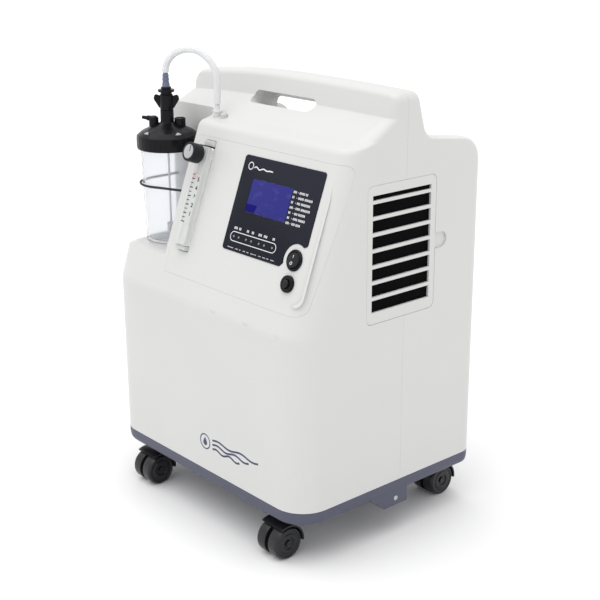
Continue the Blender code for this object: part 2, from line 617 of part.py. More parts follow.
# ---------------------------------------------------------------- bottle, tube and outlet
def make_bottle():
    """Humidifier bottle with its lid, swivel nut, barbed adapter, dip tube and strap."""
    stand = (*BOTTLE, 0.0)
    smooth(turned("humidifier_jar", [
        (0.0, 0.3435), (0.0290, 0.3435), (0.0308, 0.3460), (0.0334, 0.4600), (0.0345, 0.4630),
        (0.0345, 0.4760), (0.0365, 0.4760), (0.0365, 0.4610), (0.0355, 0.4580), (0.0327, 0.3450),
        (0.0312, 0.3404), (0.0, 0.3404)], JAR_CLEAR, stand, 24))
    lid = turned("humidifier_lid", [
        (0.0034, 0.5088), (0.0085, 0.5088), (0.0085, 0.4935), (0.0130, 0.4915), (0.0230, 0.4875),
        (0.0330, 0.4828), (0.0385, 0.4790), (0.0398, 0.4770), (0.0398, 0.4612), (0.0388, 0.4600),
        (0.0380, 0.4610), (0.0380, 0.4770), (0.0330, 0.4790), (0.0085, 0.4870), (0.0034, 0.4890)],
        BLACK_PLASTIC, stand, 24, closed=True)
    boolean(lid, cylinder("relief_valve", 0.0071, 0.4869, 0.4987, steps=16,
                          at=(BOTTLE[0] + 0.0107, BOTTLE[1] + 0.0123, 0.0)), "UNION")
    port = (BOTTLE[0] - 0.0145, BOTTLE[1] - 0.0109, 0.0)
    boolean(lid, cylinder("outlet_port", 0.0062, 0.4862, 0.5005, at=port, steps=14), "UNION")
    heading = Matrix.Rotation(math.atan2(-0.0109, -0.0145), 4, "Z") @ Matrix.Rotation(math.radians(84), 4, "Y")
    nozzle = Matrix.Translation((port[0], port[1], 0.4968)) @ heading
    boolean(lid, cylinder("outlet_nozzle", 0.0035, 0.0, 0.0155, at=nozzle, steps=12,
                          top_radius=0.0022), "UNION")
    smooth(lid)

    nut = turned("inlet_wing_nut", [
        (0.0053, 0.5381), (0.0065, 0.5381), (0.0065, 0.5349), (0.0105, 0.5349), (0.0105, 0.5318),
        (0.0072, 0.5318), (0.0072, 0.5290), (0.0085, 0.5282), (0.0085, 0.5093), (0.0053, 0.5093)],
        BLACK_PLASTIC, stand, 16, closed=True)
    wing = round_corners([(-0.0150, 0.5285, 0.003), (-0.0070, 0.5265, 0), (-0.0060, 0.5105, 0),
                          (-0.0095, 0.5115, 0.002), (-0.0165, 0.5225, 0.003)], 2, closed=True)
    for side, sign in (("left", 1), ("right", -1)):
        turn = Matrix.Rotation(math.radians(90 - 90 * sign), 4, "Z")
        place = Matrix.Translation(stand) @ Matrix.Rotation(math.radians(40), 4, "Z") @ turn
        boolean(nut, plate(f"wing_{side}", wing, 0.0035, at=place @ FRONT_PLANE), "UNION")
    smooth(nut)

    smooth(turned("inlet_adapter", [
        (0.0, 0.5556), (0.0030, 0.5556), (0.0044, 0.5515), (0.0036, 0.5513), (0.0047, 0.5465),
        (0.0038, 0.5463), (0.0049, 0.5410), (0.0049, 0.5096), (0.0, 0.5096)], ADAPTER_BLUE, stand, 14))
    smooth(turned("bubble_tube", [
        (0.0, 0.5060), (0.0030, 0.5060), (0.0030, 0.3620), (0.0055, 0.3610), (0.0055, 0.3510),
        (0.0, 0.3500)], JAR_CLEAR, stand, 12))


def strap_route():
    """The elastic cord: from the pocket's back wall round the jar's left and front to the right wall."""
    radius, level = 0.0373, 0.4155
    points = [(BOTTLE[0] - radius - 0.001, POCKET_BACK - 0.0022, level),
              (BOTTLE[0] - radius, BOTTLE[1] + 0.020, level)]
    points += [(x, y, level) for x, y in arc(BOTTLE, radius, 180, 301, 12)]
    points.append((POCKET_RIGHT - 0.0020, BOTTLE[1] - 0.0192, level))
    return points


def tube_route():
    """Points that the oxygen tube passes through, from the adapter to the outlet."""
    rise = [(0.0, 0.5563), (0.004, 0.5600), (0.025, 0.5655), (0.085, 0.5728), (0.198, 0.5802),
            (0.335, 0.5845), (0.496, 0.5861), (0.640, 0.5845), (0.762, 0.5799), (0.870, 0.5733),
            (0.945, 0.5664), (0.987, 0.5603), (1.006, 0.5491), (1.006, 0.5377), (1.0, 0.5205)]
    start, end = Vector((*BOTTLE, 0.0)), Vector((*OUTLET, 0.0))
    return [start.lerp(end, share) + Vector((0.0, 0.0, z)) for share, z in rise]


def make_tubing():
    """Strap, oxygen tube and the outlet it ends on."""
    wire("bottle_strap", strap_route(), STRAP_RADIUS, STRAP_RUBBER, 1)
    wire("oxygen_tube", smooth_route(tube_route(), 2), 0.00425, TUBE_CLEAR, 2)
    smooth(turned("outlet_fitting", [
        (0.0, 0.5200), (0.0026, 0.5200), (0.0032, 0.5130), (0.0065, 0.5125), (0.0065, 0.5105),
        (0.0050, 0.5105), (0.0050, 0.4900), (0.0, 0.4900)], CLEAR_ACRYLIC, (*OUTLET, 0.0), 16))


# ---------------------------------------------------------------- base, door and inlet
def make_base():
    """Grey tray with its side skirts and the four caster sockets."""
    rings = []
    for z, inset in ((BASE_BOTTOM, 0.0040), (BASE_BOTTOM + 0.0022, 0.0012), (0.0720, 0.0), (BASE_TOP, 0.0)):
        ring = plan_ring(-WIDTH / 2 + inset, WIDTH / 2 - inset, -DEPTH / 2 + inset, DEPTH / 2 - inset,
                         FRONT_RADIUS - inset, REAR_RADIUS - inset, 4, 1)
        rings.append(np.column_stack([ring, np.full(len(ring), z)]))
    tray = loft("base_tray", rings, GREY_BASE)
    skirt = [(-0.036, 0.0740), (-0.036, 0.0655), (-0.012, 0.0460), (0.028, 0.0460), (0.028, 0.0740)]
    for side, x in (("right", WIDTH / 2 - 0.0017), ("left", -WIDTH / 2 + 0.0017)):
        place = Matrix.Translation((x, 0.0, 0.0)) @ SIDE_PLANE
        boolean(tray, plate(f"skirt_{side}", skirt, 0.0030, at=place), "UNION")
    hollow = []
    for z in (TRAY_FLOOR - 0.0003, 0.0900):
        ring = plan_ring(-WIDTH / 2 + 0.0035, WIDTH / 2 - 0.0035, -DEPTH / 2 + 0.0035, DEPTH / 2 - 0.0035,
                         FRONT_RADIUS - 0.0035, REAR_RADIUS - 0.0035, 4, 1)
        hollow.append(np.column_stack([ring, np.full(len(ring), z)]))
    boolean(tray, loft("tray_hollow", hollow))
    for x, y in CASTERS.values():
        boolean(tray, cylinder("stem_hole", 0.0056, 0.050, 0.090, at=(x, y, 0.0), steps=12))


def make_door():
    """Louvred intake door, hinged on its front edge, with the foam filter it carries."""
    hinge = Vector((WIDTH / 2, DOOR_Y[0], 0.0))
    outline = [(y - hinge.y, z) for y, z in door_outline(0.0)]
    place = Matrix.Translation(hinge)
    door = plate("filter_door", outline, DOOR_THICK, WHITE_SHELL,
                 at=place @ Matrix.Translation((-DOOR_THICK / 2, 0.0, 0.0)) @ SIDE_PLANE)
    slot_y = (-0.0390 - hinge.y, 0.0560 - hinge.y)
    tops = [0.4466, 0.4370]
    heights = [0.0056, 0.0148]
    for _ in range(6):
        tops.append(tops[-1] - 0.0190)
        heights.append(0.0148)
    for row, (top, height) in enumerate(zip(tops, heights)):
        boolean(door, box(f"louvre_{row}", (-0.02, slot_y[0], top - height), (0.02, slot_y[1], top), at=place))
    box("cabinet_filter", (-0.0150, 0.0060, 0.3050), (-0.0032, 0.1050, 0.4490), FOAM, place)


def make_inlet():
    """Appliance inlet in the rear shell, with its socket."""
    body = box("power_inlet", (-0.0142, -0.0300, -0.0122), (0.0142, -0.0008, 0.0122), BLACK_PLASTIC,
               (INLET_X, DEPTH / 2, INLET_Z))
    boolean(body, box("inlet_flange", (-0.0200, -0.0015, -0.0150), (0.0200, -0.0003, 0.0150),
                      at=(INLET_X, DEPTH / 2, INLET_Z)), "UNION")
    boolean(body, box("inlet_socket", (-0.0120, -0.0150, -0.0085), (0.0120, 0.0100, 0.0085),
                      at=(INLET_X, DEPTH / 2, INLET_Z)))


# ---------------------------------------------------------------- casters
def make_caster(corner, x, y):
    """One hooded twin-wheel caster: stem, swivelling hood with its axle, and two wheels."""
    turned(f"caster_stem_{corner}", [(0.0, 0.0672), (0.0050, 0.0672), (0.0050, 0.0636), (0.0085, 0.0634),
                                     (0.0085, 0.0610), (0.0050, 0.0605), (0.0050, 0.0575), (0.0, 0.0575)],
           STEEL, (x, y, 0.0), 12)

    swivel = Matrix.Translation((x, y, AXLE_Z))
    fender_out, fender_in = WHEEL_RADIUS + 0.0035, WHEEL_RADIUS + 0.0012
    axle = (-CASTER_TRAIL, 0.0)
    width = 2 * WHEEL_WIDTH + WEB_THICK + 0.0012
    fender = arc(axle, fender_out, -6, 118, 10) + arc(axle, fender_in, 118, -6, 10)
    hood = plate(f"caster_hood_{corner}", fender, width, CASTER_BLACK, at=swivel @ SIDE_PLANE)
    web = arc(axle, fender_out - 0.0012, 0, 112, 8) + arc(axle, 0.0080, 180, 310, 4)
    boolean(hood, plate(f"web_{corner}", web, WEB_THICK, at=swivel @ SIDE_PLANE), "UNION")
    boolean(hood, cylinder(f"boss_{corner}", 0.0100, 0.0213, 0.0289, at=swivel, steps=16), "UNION")
    across = swivel @ Matrix.Translation((0.0, -CASTER_TRAIL, 0.0)) @ Matrix.Rotation(math.radians(90), 4, "Y")
    half_axle = WEB_THICK / 2 + WHEEL_WIDTH + 0.0006
    boolean(hood, cylinder(f"axle_{corner}", 0.0040, -half_axle, half_axle, at=across, steps=12), "UNION")
    smooth(hood)

    half = WHEEL_WIDTH / 2
    tread = [(0.0044, half - 0.0015), (0.0070, half - 0.0015), (0.0080, half), (0.0182, half),
             (WHEEL_RADIUS, half - 0.0028), (WHEEL_RADIUS, -half + 0.0012),
             (WHEEL_RADIUS - 0.0012, -half), (0.0044, -half)]
    for side, sign in (("left", -1), ("right", 1)):
        offset = sign * (WEB_THICK / 2 + 0.0004 + half)
        facing = Matrix.Rotation(math.radians(90 * sign), 4, "Y")
        half_step = Matrix.Rotation(math.pi / WHEEL_STEPS, 4, "Z")
        place = swivel @ Matrix.Translation((offset, -CASTER_TRAIL, 0.0)) @ facing @ half_step
        smooth(turned(f"caster_wheel_{corner}_{side}", tread, CASTER_BLACK, place, WHEEL_STEPS, closed=True))


# ---------------------------------------------------------------- the works inside
def make_compressor():
    """Twin-piston compressor on four isolators, with its cooling fan at the left end."""
    x, y, z = COMPRESSOR
    sideways = Matrix.Translation(COMPRESSOR) @ Matrix.Rotation(math.radians(90), 4, "Y")
    cylinder("compressor_motor", 0.0400, -0.0400, 0.0400, DARK_MOTOR, sideways, 20)
    for side, sign in (("left", -1), ("right", 1)):
        middle = x + sign * 0.0580
        near, far = middle - 0.0176, middle + 0.0176
        case = cylinder(f"crankcase_{side}", 0.0380, -0.0176, 0.0176, CAST_ALUMINIUM,
                        Matrix.Translation((middle, y, z)) @ Matrix.Rotation(math.radians(90), 4, "Y"), 20)
        boolean(case, box(f"case_foot_{side}", (near, y - 0.040, 0.0993), (far, y + 0.040, 0.1050)), "UNION")
        boolean(case, box(f"case_neck_{side}", (near + 0.002, y - 0.018, 0.1600),
                          (far - 0.002, y + 0.018, 0.1895)), "UNION")
        head = box(f"cylinder_head_{side}", (near - 0.001, y - 0.024, 0.1900), (far + 0.001, y + 0.024, 0.2180),
                   CAST_ALUMINIUM)
        for fin in range(3):
            low = 0.1950 + 0.0065 * fin
            boolean(head, box(f"fin_{side}_{fin}", (near - 0.01, y - 0.030, low), (far + 0.01, y - 0.016, low + 0.003)))
        for place, foot_y in (("front", y - 0.030), ("rear", y + 0.030)):
            turned(f"isolator_{place}_{side}", [(0.0, 0.0990), (0.0090, 0.0990), (0.0090, 0.0930),
                                                (0.0070, 0.0900), (0.0070, 0.0780), (0.0100, 0.0740),
                                                (0.0100, TRAY_FLOOR), (0.0, TRAY_FLOOR)],
                   RUBBER, (middle, foot_y, 0.0), 12)
    spin = Matrix.Translation((x - 0.0830, y, z)) @ Matrix.Rotation(math.radians(90), 4, "Y")
    plate("compressor_fan", fan_outline(0.0110, 0.0340, 6), 0.0100, BLACK_PLASTIC, spin)


def fan_outline(hub, tip, blades):
    """A fan seen along its axis: the radius swings between hub and tip once a blade."""
    points = []
    for blade in range(blades):
        start = 360.0 * blade / blades
        wide = 360.0 / blades
        points += arc((0.0, 0.0), hub, start, start + wide * 0.30, 2)
        points += arc((0.0, 0.0), tip, start + wide * 0.42, start + wide * 0.86, 3)
    return points


def make_cooling():
    """Mid deck with the cabinet fan over it, and the coil that cools the compressed air."""
    margin = WALL + GAP
    outline = plan_ring(-WIDTH / 2 + margin, WIDTH / 2 - margin, -DEPTH / 2 + margin, DEPTH / 2 - margin,
                        FRONT_RADIUS - margin, REAR_RADIUS - margin, 4, 1)
    deck = plate("mid_deck", outline.tolist(), DECK_Z[1] - DECK_Z[0], GREY_BASE,
                 at=(0.0, 0.0, sum(DECK_Z) / 2))
    boolean(deck, cylinder("fan_hole", 0.0560, 0.24, 0.28, at=(*FAN, 0.0), steps=24))
    for number, (x, y) in enumerate(BEDS):
        boolean(deck, cylinder(f"bed_hole_{number}", BED_RADIUS + 0.001, 0.24, 0.28, at=(x, y, 0.0), steps=20))
    boolean(deck, cylinder("tank_hole", TANK_RADIUS + 0.001, 0.24, 0.28, at=(*TANK, 0.0), steps=20))

    half, height = 0.0590, 0.0250
    low = DECK_Z[1] + 0.0003
    frame = box("cooling_fan_frame", (-half, -half, low), (half, half, low + height), BLACK_PLASTIC, (*FAN, 0.0))
    boolean(frame, cylinder("fan_bore", 0.0565, 0.24, 0.32, at=(*FAN, 0.0), steps=24))
    plate("cooling_fan_rotor", fan_outline(0.0200, 0.0545, 7), 0.0180, BLACK_PLASTIC,
          (*FAN, low + height / 2))

    turns, per_turn, radius = 3, 14, 0.0400
    points = []
    for i in range(turns * per_turn + 1):
        angle = 2 * math.pi * i / per_turn
        points.append((FAN[0] + radius * math.cos(angle), FAN[1] + radius * math.sin(angle),
                       0.2250 + 0.0115 * i / per_turn))
    wire("heat_exchanger_coil", points, 0.0040, COPPER, 1)


def make_gas_circuit():
    """Two sieve beds under one valve manifold, the product tank and the intake silencer."""
    for number, (x, y) in enumerate(BEDS, start=1):
        smooth(turned(f"sieve_bed_{number}", [
            (0.0, 0.3850), (0.0300, 0.3850), (BED_RADIUS, 0.3810), (BED_RADIUS, 0.0740),
            (0.0300, TRAY_FLOOR), (0.0, TRAY_FLOOR)], BED_ALUMINIUM, (x, y, 0.0), 16))
    smooth(turned("product_tank", [
        (0.0, 0.3330), (0.0200, 0.3330), (TANK_RADIUS, 0.3200), (TANK_RADIUS, 0.0800),
        (0.0250, TRAY_FLOOR), (0.0, TRAY_FLOOR)], BED_ALUMINIUM, (*TANK, 0.0), 16))
    manifold = box("valve_manifold", (0.018, 0.070, 0.3854), (0.152, 0.130, 0.4200), CAST_ALUMINIUM)
    for number in range(4):
        x = 0.037 + 0.032 * number
        boolean(manifold, cylinder(f"solenoid_{number}", 0.0110, 0.4150, 0.4500, at=(x, 0.100, 0.0), steps=12),
                "UNION")
    smooth(turned("intake_silencer", [
        (0.0, 0.3600), (0.0080, 0.3600), (0.0080, 0.3450), (0.0220, 0.3430), (0.0220, 0.2700),
        (0.0200, 0.2654), (0.0, 0.2654)], BLACK_PLASTIC, (0.140, 0.010, 0.0), 16))


def make_control_board():
    """Circuit board on stand-offs behind the overlay."""
    board = box("control_board", (0.0300, 0.0400, -0.0316), (0.1300, 0.1380, -0.0300), BOARD_GREEN, PANEL)
    boolean(board, box("relay_row", (0.0400, 0.0500, -0.0304), (0.1200, 0.0640, -0.0180), at=PANEL), "UNION")
    boolean(board, box("display_module", (0.0380, 0.0720, -0.0304), (0.1060, 0.1180, -0.0080), at=PANEL), "UNION")


make_shells()
make_panel_parts()
make_bottle()
make_tubing()
make_base()
make_door()
make_inlet()
for corner, (stem_x, stem_y) in CASTERS.items():
    make_caster(corner, stem_x, stem_y)
make_compressor()
make_cooling()
make_gas_circuit()
make_control_board()

# ---------------------------------------------------------------- one root carries it all
ROOT = bpy.data.objects.new("body_middle", None)
PARTS.objects.link(ROOT)
for thing in list(PARTS.objects) + list(CUTTERS.objects):
    if thing is not ROOT:
        thing.parent = ROOT
ROOT.location = (0.0, 0.0, -FLOOR_Z)
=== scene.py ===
"""The looks of a bedside oxygen concentrator: its shells, panel, bottle, tube and casters, with
their finishes, a camera and soft studio light.

Metres, +Z up, the control panel faces -Y and the intake door +X. Heights are drawn from the part's
own datum, a few millimetres under the floor, and every piece is lowered by that much when it is made.
"""
import math

import bpy
import bmesh
import numpy as np
from mathutils import Matrix, Vector


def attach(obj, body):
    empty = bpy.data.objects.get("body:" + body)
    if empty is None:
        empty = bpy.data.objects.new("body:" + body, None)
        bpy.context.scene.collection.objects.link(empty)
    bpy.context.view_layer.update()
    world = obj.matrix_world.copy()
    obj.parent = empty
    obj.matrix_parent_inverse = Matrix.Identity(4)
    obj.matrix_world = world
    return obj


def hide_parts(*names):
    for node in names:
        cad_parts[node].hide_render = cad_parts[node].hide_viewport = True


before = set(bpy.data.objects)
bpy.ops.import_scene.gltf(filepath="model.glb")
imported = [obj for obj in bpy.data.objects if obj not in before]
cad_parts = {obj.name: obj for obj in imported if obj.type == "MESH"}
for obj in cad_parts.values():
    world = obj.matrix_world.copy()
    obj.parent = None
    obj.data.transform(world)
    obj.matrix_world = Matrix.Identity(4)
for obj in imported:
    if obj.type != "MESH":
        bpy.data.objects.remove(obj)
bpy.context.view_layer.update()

# ---------------------------------------------------------------- driving dimensions
DATUM = 0.0080
WIDTH = 0.380
DEPTH = 0.300
BODY_TOP = 0.5605
WALL = 0.003
SEAM = 0.00016

BASE_BOTTOM = 0.0640
BASE_TOP = 0.0798
SHELL_BOTTOM = 0.0803
SEAM_Y = 0.0145

FRONT_RADIUS = 0.040
REAR_RADIUS = 0.020
CREST_ENDS = ((0.020, 0.0120), (0.012, 0.0035))

PANEL_TILT = math.radians(20.5)
PANEL_FOOT = (-0.1333, 0.3397)
PANEL_WALL = 0.0065
FASCIA_LEFT = -0.0790
FASCIA_BOTTOM = 0.3202
FASCIA_TOP = 0.4850

POCKET_RIGHT = -0.0860
POCKET_BACK = -0.0400
POCKET_CORNER = 0.020
SHELF_TOP = 0.3400
SHELF_ROUND = 0.026

SLOT_HALF = 0.058
SLOT_RADIUS = 0.0088
SLOT_MIDDLE = (0.004, -0.0150, 0.5300)
SLOT_TILT = -18.0
SCOOP = ((-0.168, 0.0270, 0.4760), (0.168, 0.2000, 0.5440))

DOOR_Y = (-0.0470, 0.0650)
DOOR_Z = (0.2940, 0.4580)
DOOR_CORNER = 0.008
DOOR_THICK = 0.0028
DOOR_GAP = 0.00028

BOTTLE = (-0.1411, -0.0839)
OUTLET = (-0.0755, -0.0525)
STRAP_RADIUS = 0.0016

SWITCH = (0.1479, 0.0413)
BREAKER = (0.1473, 0.0137)
FLOW_X = -0.0520
FLOW_V = (0.0175, 0.1420)
FLOW_HALF = 0.0095
FLOW_OUT = 0.0092
FLOW_RECESS = (0.0100, 0.1515)
FLOW_KNOB_V = 0.1305
FLOAT_BORE_OUT = 0.0030
SCALE_ZERO = 0.0463
SCALE_UNIT = 0.0108
LABEL_X = (0.0200, 0.1625)
LABEL_V = (0.0297, 0.1445)
LABEL_BITE = 0.0190
LABEL_OUT = 0.0009
LCD_X = (0.0435, 0.1155)
LCD_V = (0.0790, 0.1185)
DIMPLES = (0.033, 0.095, 0.1525)
DIMPLE_Z = 0.2995
INLET_X = -0.037
INLET_Z = 0.120

CASTERS = {"front_left": (-0.133, -0.122), "front_right": (0.133, -0.122),
           "rear_left": (-0.140, 0.140), "rear_right": (0.140, 0.140)}
CASTER_TRAIL = 0.012
WHEEL_RADIUS = 0.0205
WHEEL_WIDTH = 0.0160
WEB_THICK = 0.005
AXLE_Z = DATUM + WHEEL_RADIUS * math.cos(math.pi / 20)

TAU = 2.0 * math.pi


# ---------------------------------------------------------------- places
def move(x=0.0, y=0.0, z=0.0):
    """A shift as a 4 by 4 array."""
    return np.array(Matrix.Translation((x, y, z)))


def turn(degrees, axis):
    """A rotation about X, Y or Z as a 4 by 4 array."""
    return np.array(Matrix.Rotation(math.radians(degrees), 4, axis))


SIDE_PLANE = np.array([[0, 0, 1, 0], [1, 0, 0, 0], [0, 1, 0, 0], [0, 0, 0, 1]], float)
FRONT_PLANE = turn(90, "X")
BACK_PLANE = turn(90, "X") @ turn(180, "Y")
PANEL = move(0.0, *PANEL_FOOT) @ turn(90 - math.degrees(PANEL_TILT), "X")


def on_panel(x, up, out=0.0):
    """A place on the sloped panel, with local Z along its outward normal."""
    return PANEL @ move(x, up, out)


# ---------------------------------------------------------------- outlines
def arc(centre, radius, start, end, steps):
    """Points centre + radius (cos a, sin a), for a from start to end in degrees."""
    a = np.radians(np.linspace(start, end, steps + 1))
    return np.stack([centre[0] + radius * np.cos(a), centre[1] + radius * np.sin(a)], axis=1)


def rounded(corners, steps=8, closed=True):
    """A polyline through (a, b, radius) corners, each turned into a tangent arc."""
    points = []
    count = len(corners)
    for i, (a, b, radius) in enumerate(corners):
        here = Vector((a, b))
        if radius <= 0.0 or (not closed and i in (0, count - 1)):
            points.append((a, b))
            continue
        before = (Vector(corners[i - 1][:2]) - here).normalized()
        after = (Vector(corners[(i + 1) % count][:2]) - here).normalized()
        half = before.angle(after) / 2
        start = here + before * (radius / math.tan(half))
        end = here + after * (radius / math.tan(half))
        centre = here + (before + after).normalized() * (radius / math.sin(half))
        first = start - centre
        sweep = first.angle_signed(end - centre)
        angles = -sweep * np.arange(steps + 1) / steps
        points.extend(np.stack([centre.x + first.x * np.cos(angles) - first.y * np.sin(angles),
                                centre.y + first.x * np.sin(angles) + first.y * np.cos(angles)], axis=1))
    return np.array(points)


def block_outline(x, y, radius, steps=6):
    """A rectangle between x = (low, high) and y = (low, high), with equal rounded corners."""
    return rounded([(x[0], y[0], radius), (x[1], y[0], radius), (x[1], y[1], radius),
                    (x[0], y[1], radius)], steps)


def moved_in(outline, inset):
    """A closed outline moved inwards by inset: each point goes along the mean normal of its two sides."""
    ahead = np.roll(outline, -1, axis=0) - outline
    ahead /= np.maximum(np.linalg.norm(ahead, axis=1, keepdims=True), 1e-9)
    normal = np.stack([-ahead[:, 1], ahead[:, 0]], axis=1)
    before = np.roll(normal, 1, axis=0)
    spread = 1.0 + np.sum(before * normal, axis=1, keepdims=True)
    area = np.sum(outline[:, 0] * np.roll(outline[:, 1], -1) - np.roll(outline[:, 0], -1) * outline[:, 1])
    return outline + math.copysign(inset, area) * (before + normal) / np.maximum(spread, 0.4)


# ---------------------------------------------------------------- meshes
def quads(rows, columns, wrap=True):
    """The four-sided faces of a grid of rows by columns, whose columns close on themselves."""
    across = np.arange(columns if wrap else columns - 1)
    beside = (across + 1) % columns
    base = np.arange(rows - 1)[:, None] * columns
    return np.stack([base + across, base + beside, base + columns + beside, base + columns + across],
                    axis=-1).reshape(-1, 4)


def shape(name, verts, faces, place=None):
    """A merged mesh object in the part's frame, its faces pointing out."""
    verts = np.asarray(verts, float).reshape(-1, 3)
    if place is not None:
        verts = verts @ place[:3, :3].T + place[:3, 3]
    verts = verts - (0.0, 0.0, DATUM)
    mesh = bpy.data.meshes.new(name)
    mesh.from_pydata(verts.tolist(), [], [list(map(int, face)) for face in faces])
    work = bmesh.new()
    work.from_mesh(mesh)
    bmesh.ops.remove_doubles(work, verts=work.verts, dist=2e-6)
    bmesh.ops.dissolve_degenerate(work, edges=work.edges, dist=1e-7)
    bmesh.ops.recalc_face_normals(work, faces=work.faces)
    work.to_mesh(mesh)
    work.free()
    made = bpy.data.objects.new(name, mesh)
    bpy.context.scene.collection.objects.link(made)
    return made


def stacked(name, rings, place=None):
    """Closed rings of equal count, (rings, count, 3), skinned in order and capped at both ends."""
    rings = np.asarray(rings, float)
    levels, count = rings.shape[:2]
    faces = quads(levels, count).tolist()
    faces.append(list(range(count))[::-1])
    faces.append(list(range((levels - 1) * count, levels * count)))
    return shape(name, rings, faces, place)


def slab(name, outline, low, high, place=None, top=0.0004, bottom=0.0, steps=3):
    """An outline raised from low to high, its rims rounded by quarter circles of the radii given."""
    outline = np.asarray(outline, float)
    layers = []
    for radius, level, sign in ((bottom, low, 1.0), (top, high, -1.0)):
        if radius <= 0.0:
            layers.append([(0.0, level)])
            continue
        a = np.linspace(0.0, math.pi / 2, steps + 1)
        bend = [(radius * (1 - math.sin(t)), level + sign * radius * (1 - math.cos(t))) for t in a]
        layers.append(bend if sign > 0 else bend[::-1])
    rings = []
    for inset, z in layers[0] + layers[1]:
        ring = moved_in(outline, inset) if inset else outline
        rings.append(np.column_stack([ring, np.full(len(ring), z)]))
    return stacked(name, rings, place)


def turned(name, profile, place=None, steps=48, closed=False, lobes=None):
    """A profile of (radius, height) turned about Z: (r cos a, r sin a, h).

    With lobes = (count, depth) the radius is r (1 + depth cos(count a)).
    """
    profile = np.asarray(profile, float)
    a = np.arange(steps) * TAU / steps
    wave = np.ones(steps) if lobes is None else 1.0 + lobes[1] * np.cos(lobes[0] * a)
    radius = profile[:, :1] * wave
    grid = np.stack([radius * np.cos(a), radius * np.sin(a),
                     np.repeat(profile[:, 1:], steps, axis=1)], axis=-1)
    if closed:
        grid = np.concatenate([grid, grid[:1]])
    return shape(name, grid, quads(len(grid), steps).tolist(), place)


def swept(name, path, section, upward, place=None):
    """A closed section of (side, up) points carried along a path: c + s side + u up.

    Side is upward x tangent and up is tangent x side, at each point of the path.
    """
    path = np.asarray(path, float)
    along = np.gradient(path, axis=0)
    along /= np.linalg.norm(along, axis=1, keepdims=True)
    side = np.cross(np.broadcast_to(upward, along.shape), along)
    side /= np.linalg.norm(side, axis=1, keepdims=True)
    up = np.cross(along, side)
    section = np.asarray(section, float)
    rings = (path[:, None] + section[None, :, :1] * side[:, None] + section[None, :, 1:] * up[:, None])
    return stacked(name, rings, place)


def blocks(name, cells, low, high, place):
    """Many small blocks as one mesh: each row of cells is (x low, y low, x high, y high)."""
    cells = np.asarray(cells, float)
    xs = cells[:, [0, 2, 2, 0]]
    ys = cells[:, [1, 1, 3, 3]]
    lower = np.stack([xs, ys, np.full_like(xs, low)], axis=-1)
    upper = np.stack([xs, ys, np.full_like(xs, high)], axis=-1)
    verts = np.concatenate([lower, upper], axis=1).reshape(-1, 3)
    cube = np.array([[3, 2, 1, 0], [4, 5, 6, 7], [0, 1, 5, 4], [1, 2, 6, 5], [2, 3, 7, 6], [3, 0, 4, 7]])
    faces = (np.arange(len(cells))[:, None, None] * 8 + cube).reshape(-1, 4)
    return shape(name, verts, faces.tolist(), place)


def carve(target, *tools, operation="DIFFERENCE"):
    """Cut the tools from the target exactly, leave one plain mesh and remove the tools."""
    for tool in tools:
        step = target.modifiers.new("carve", "BOOLEAN")
        step.operation = operation
        step.object = tool
        step.solver = "EXACT"
    bpy.context.view_layer.update()
    graph = bpy.context.evaluated_depsgraph_get()
    mesh = bpy.data.meshes.new_from_object(target.evaluated_get(graph))
    target.modifiers.clear()
    target.data = mesh
    for tool in tools:
        bpy.data.objects.remove(tool, do_unlink=True)
    return target


def join(target, *others):
    """Unite others with the target."""
    return carve(target, *others, operation="UNION")


def finished(made, finish, body, slot, *replaces, crease=32.0):
    """Give a piece its finish and its body, with edges past an angle kept crisp. The slot argument is not used."""
    made.data.shade_smooth()
    made.data.set_sharp_from_angle(angle=math.radians(crease))
    made.data.materials.clear()
    made.data.materials.append(finish.material)
    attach(made, body)
    if replaces:
        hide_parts(*replaces)
    return made


# ---------------------------------------------------------------- finishes
class Value:
    """A number or colour that changes over a surface. Arithmetic on it adds Math nodes."""

    def __init__(self, finish, socket):
        self.finish = finish
        self.socket = socket

    def maths(self, operation, *values):
        """A Math node on these values, in order."""
        return self.finish.node("ShaderNodeMath", {"operation": operation}, values)

    def __add__(self, other):
        return self.maths("ADD", self, other)

    def __sub__(self, other):
        return self.maths("SUBTRACT", self, other)

    def __rsub__(self, other):
        return self.maths("SUBTRACT", other, self)

    def __mul__(self, other):
        return self.maths("MULTIPLY", self, other)

    def __truediv__(self, other):
        return self.maths("DIVIDE", self, other)

    def __abs__(self):
        return self.maths("ABSOLUTE", self)

    __radd__ = __add__
    __rmul__ = __mul__

    def rise(self, low, high):
        """0 below low and 1 above high, with a smooth step between; falls where low is above high."""
        return self.finish.node("ShaderNodeMapRange", {"interpolation_type": "SMOOTHSTEP"},
                                {"Value": self, "From Min": low, "From Max": high})


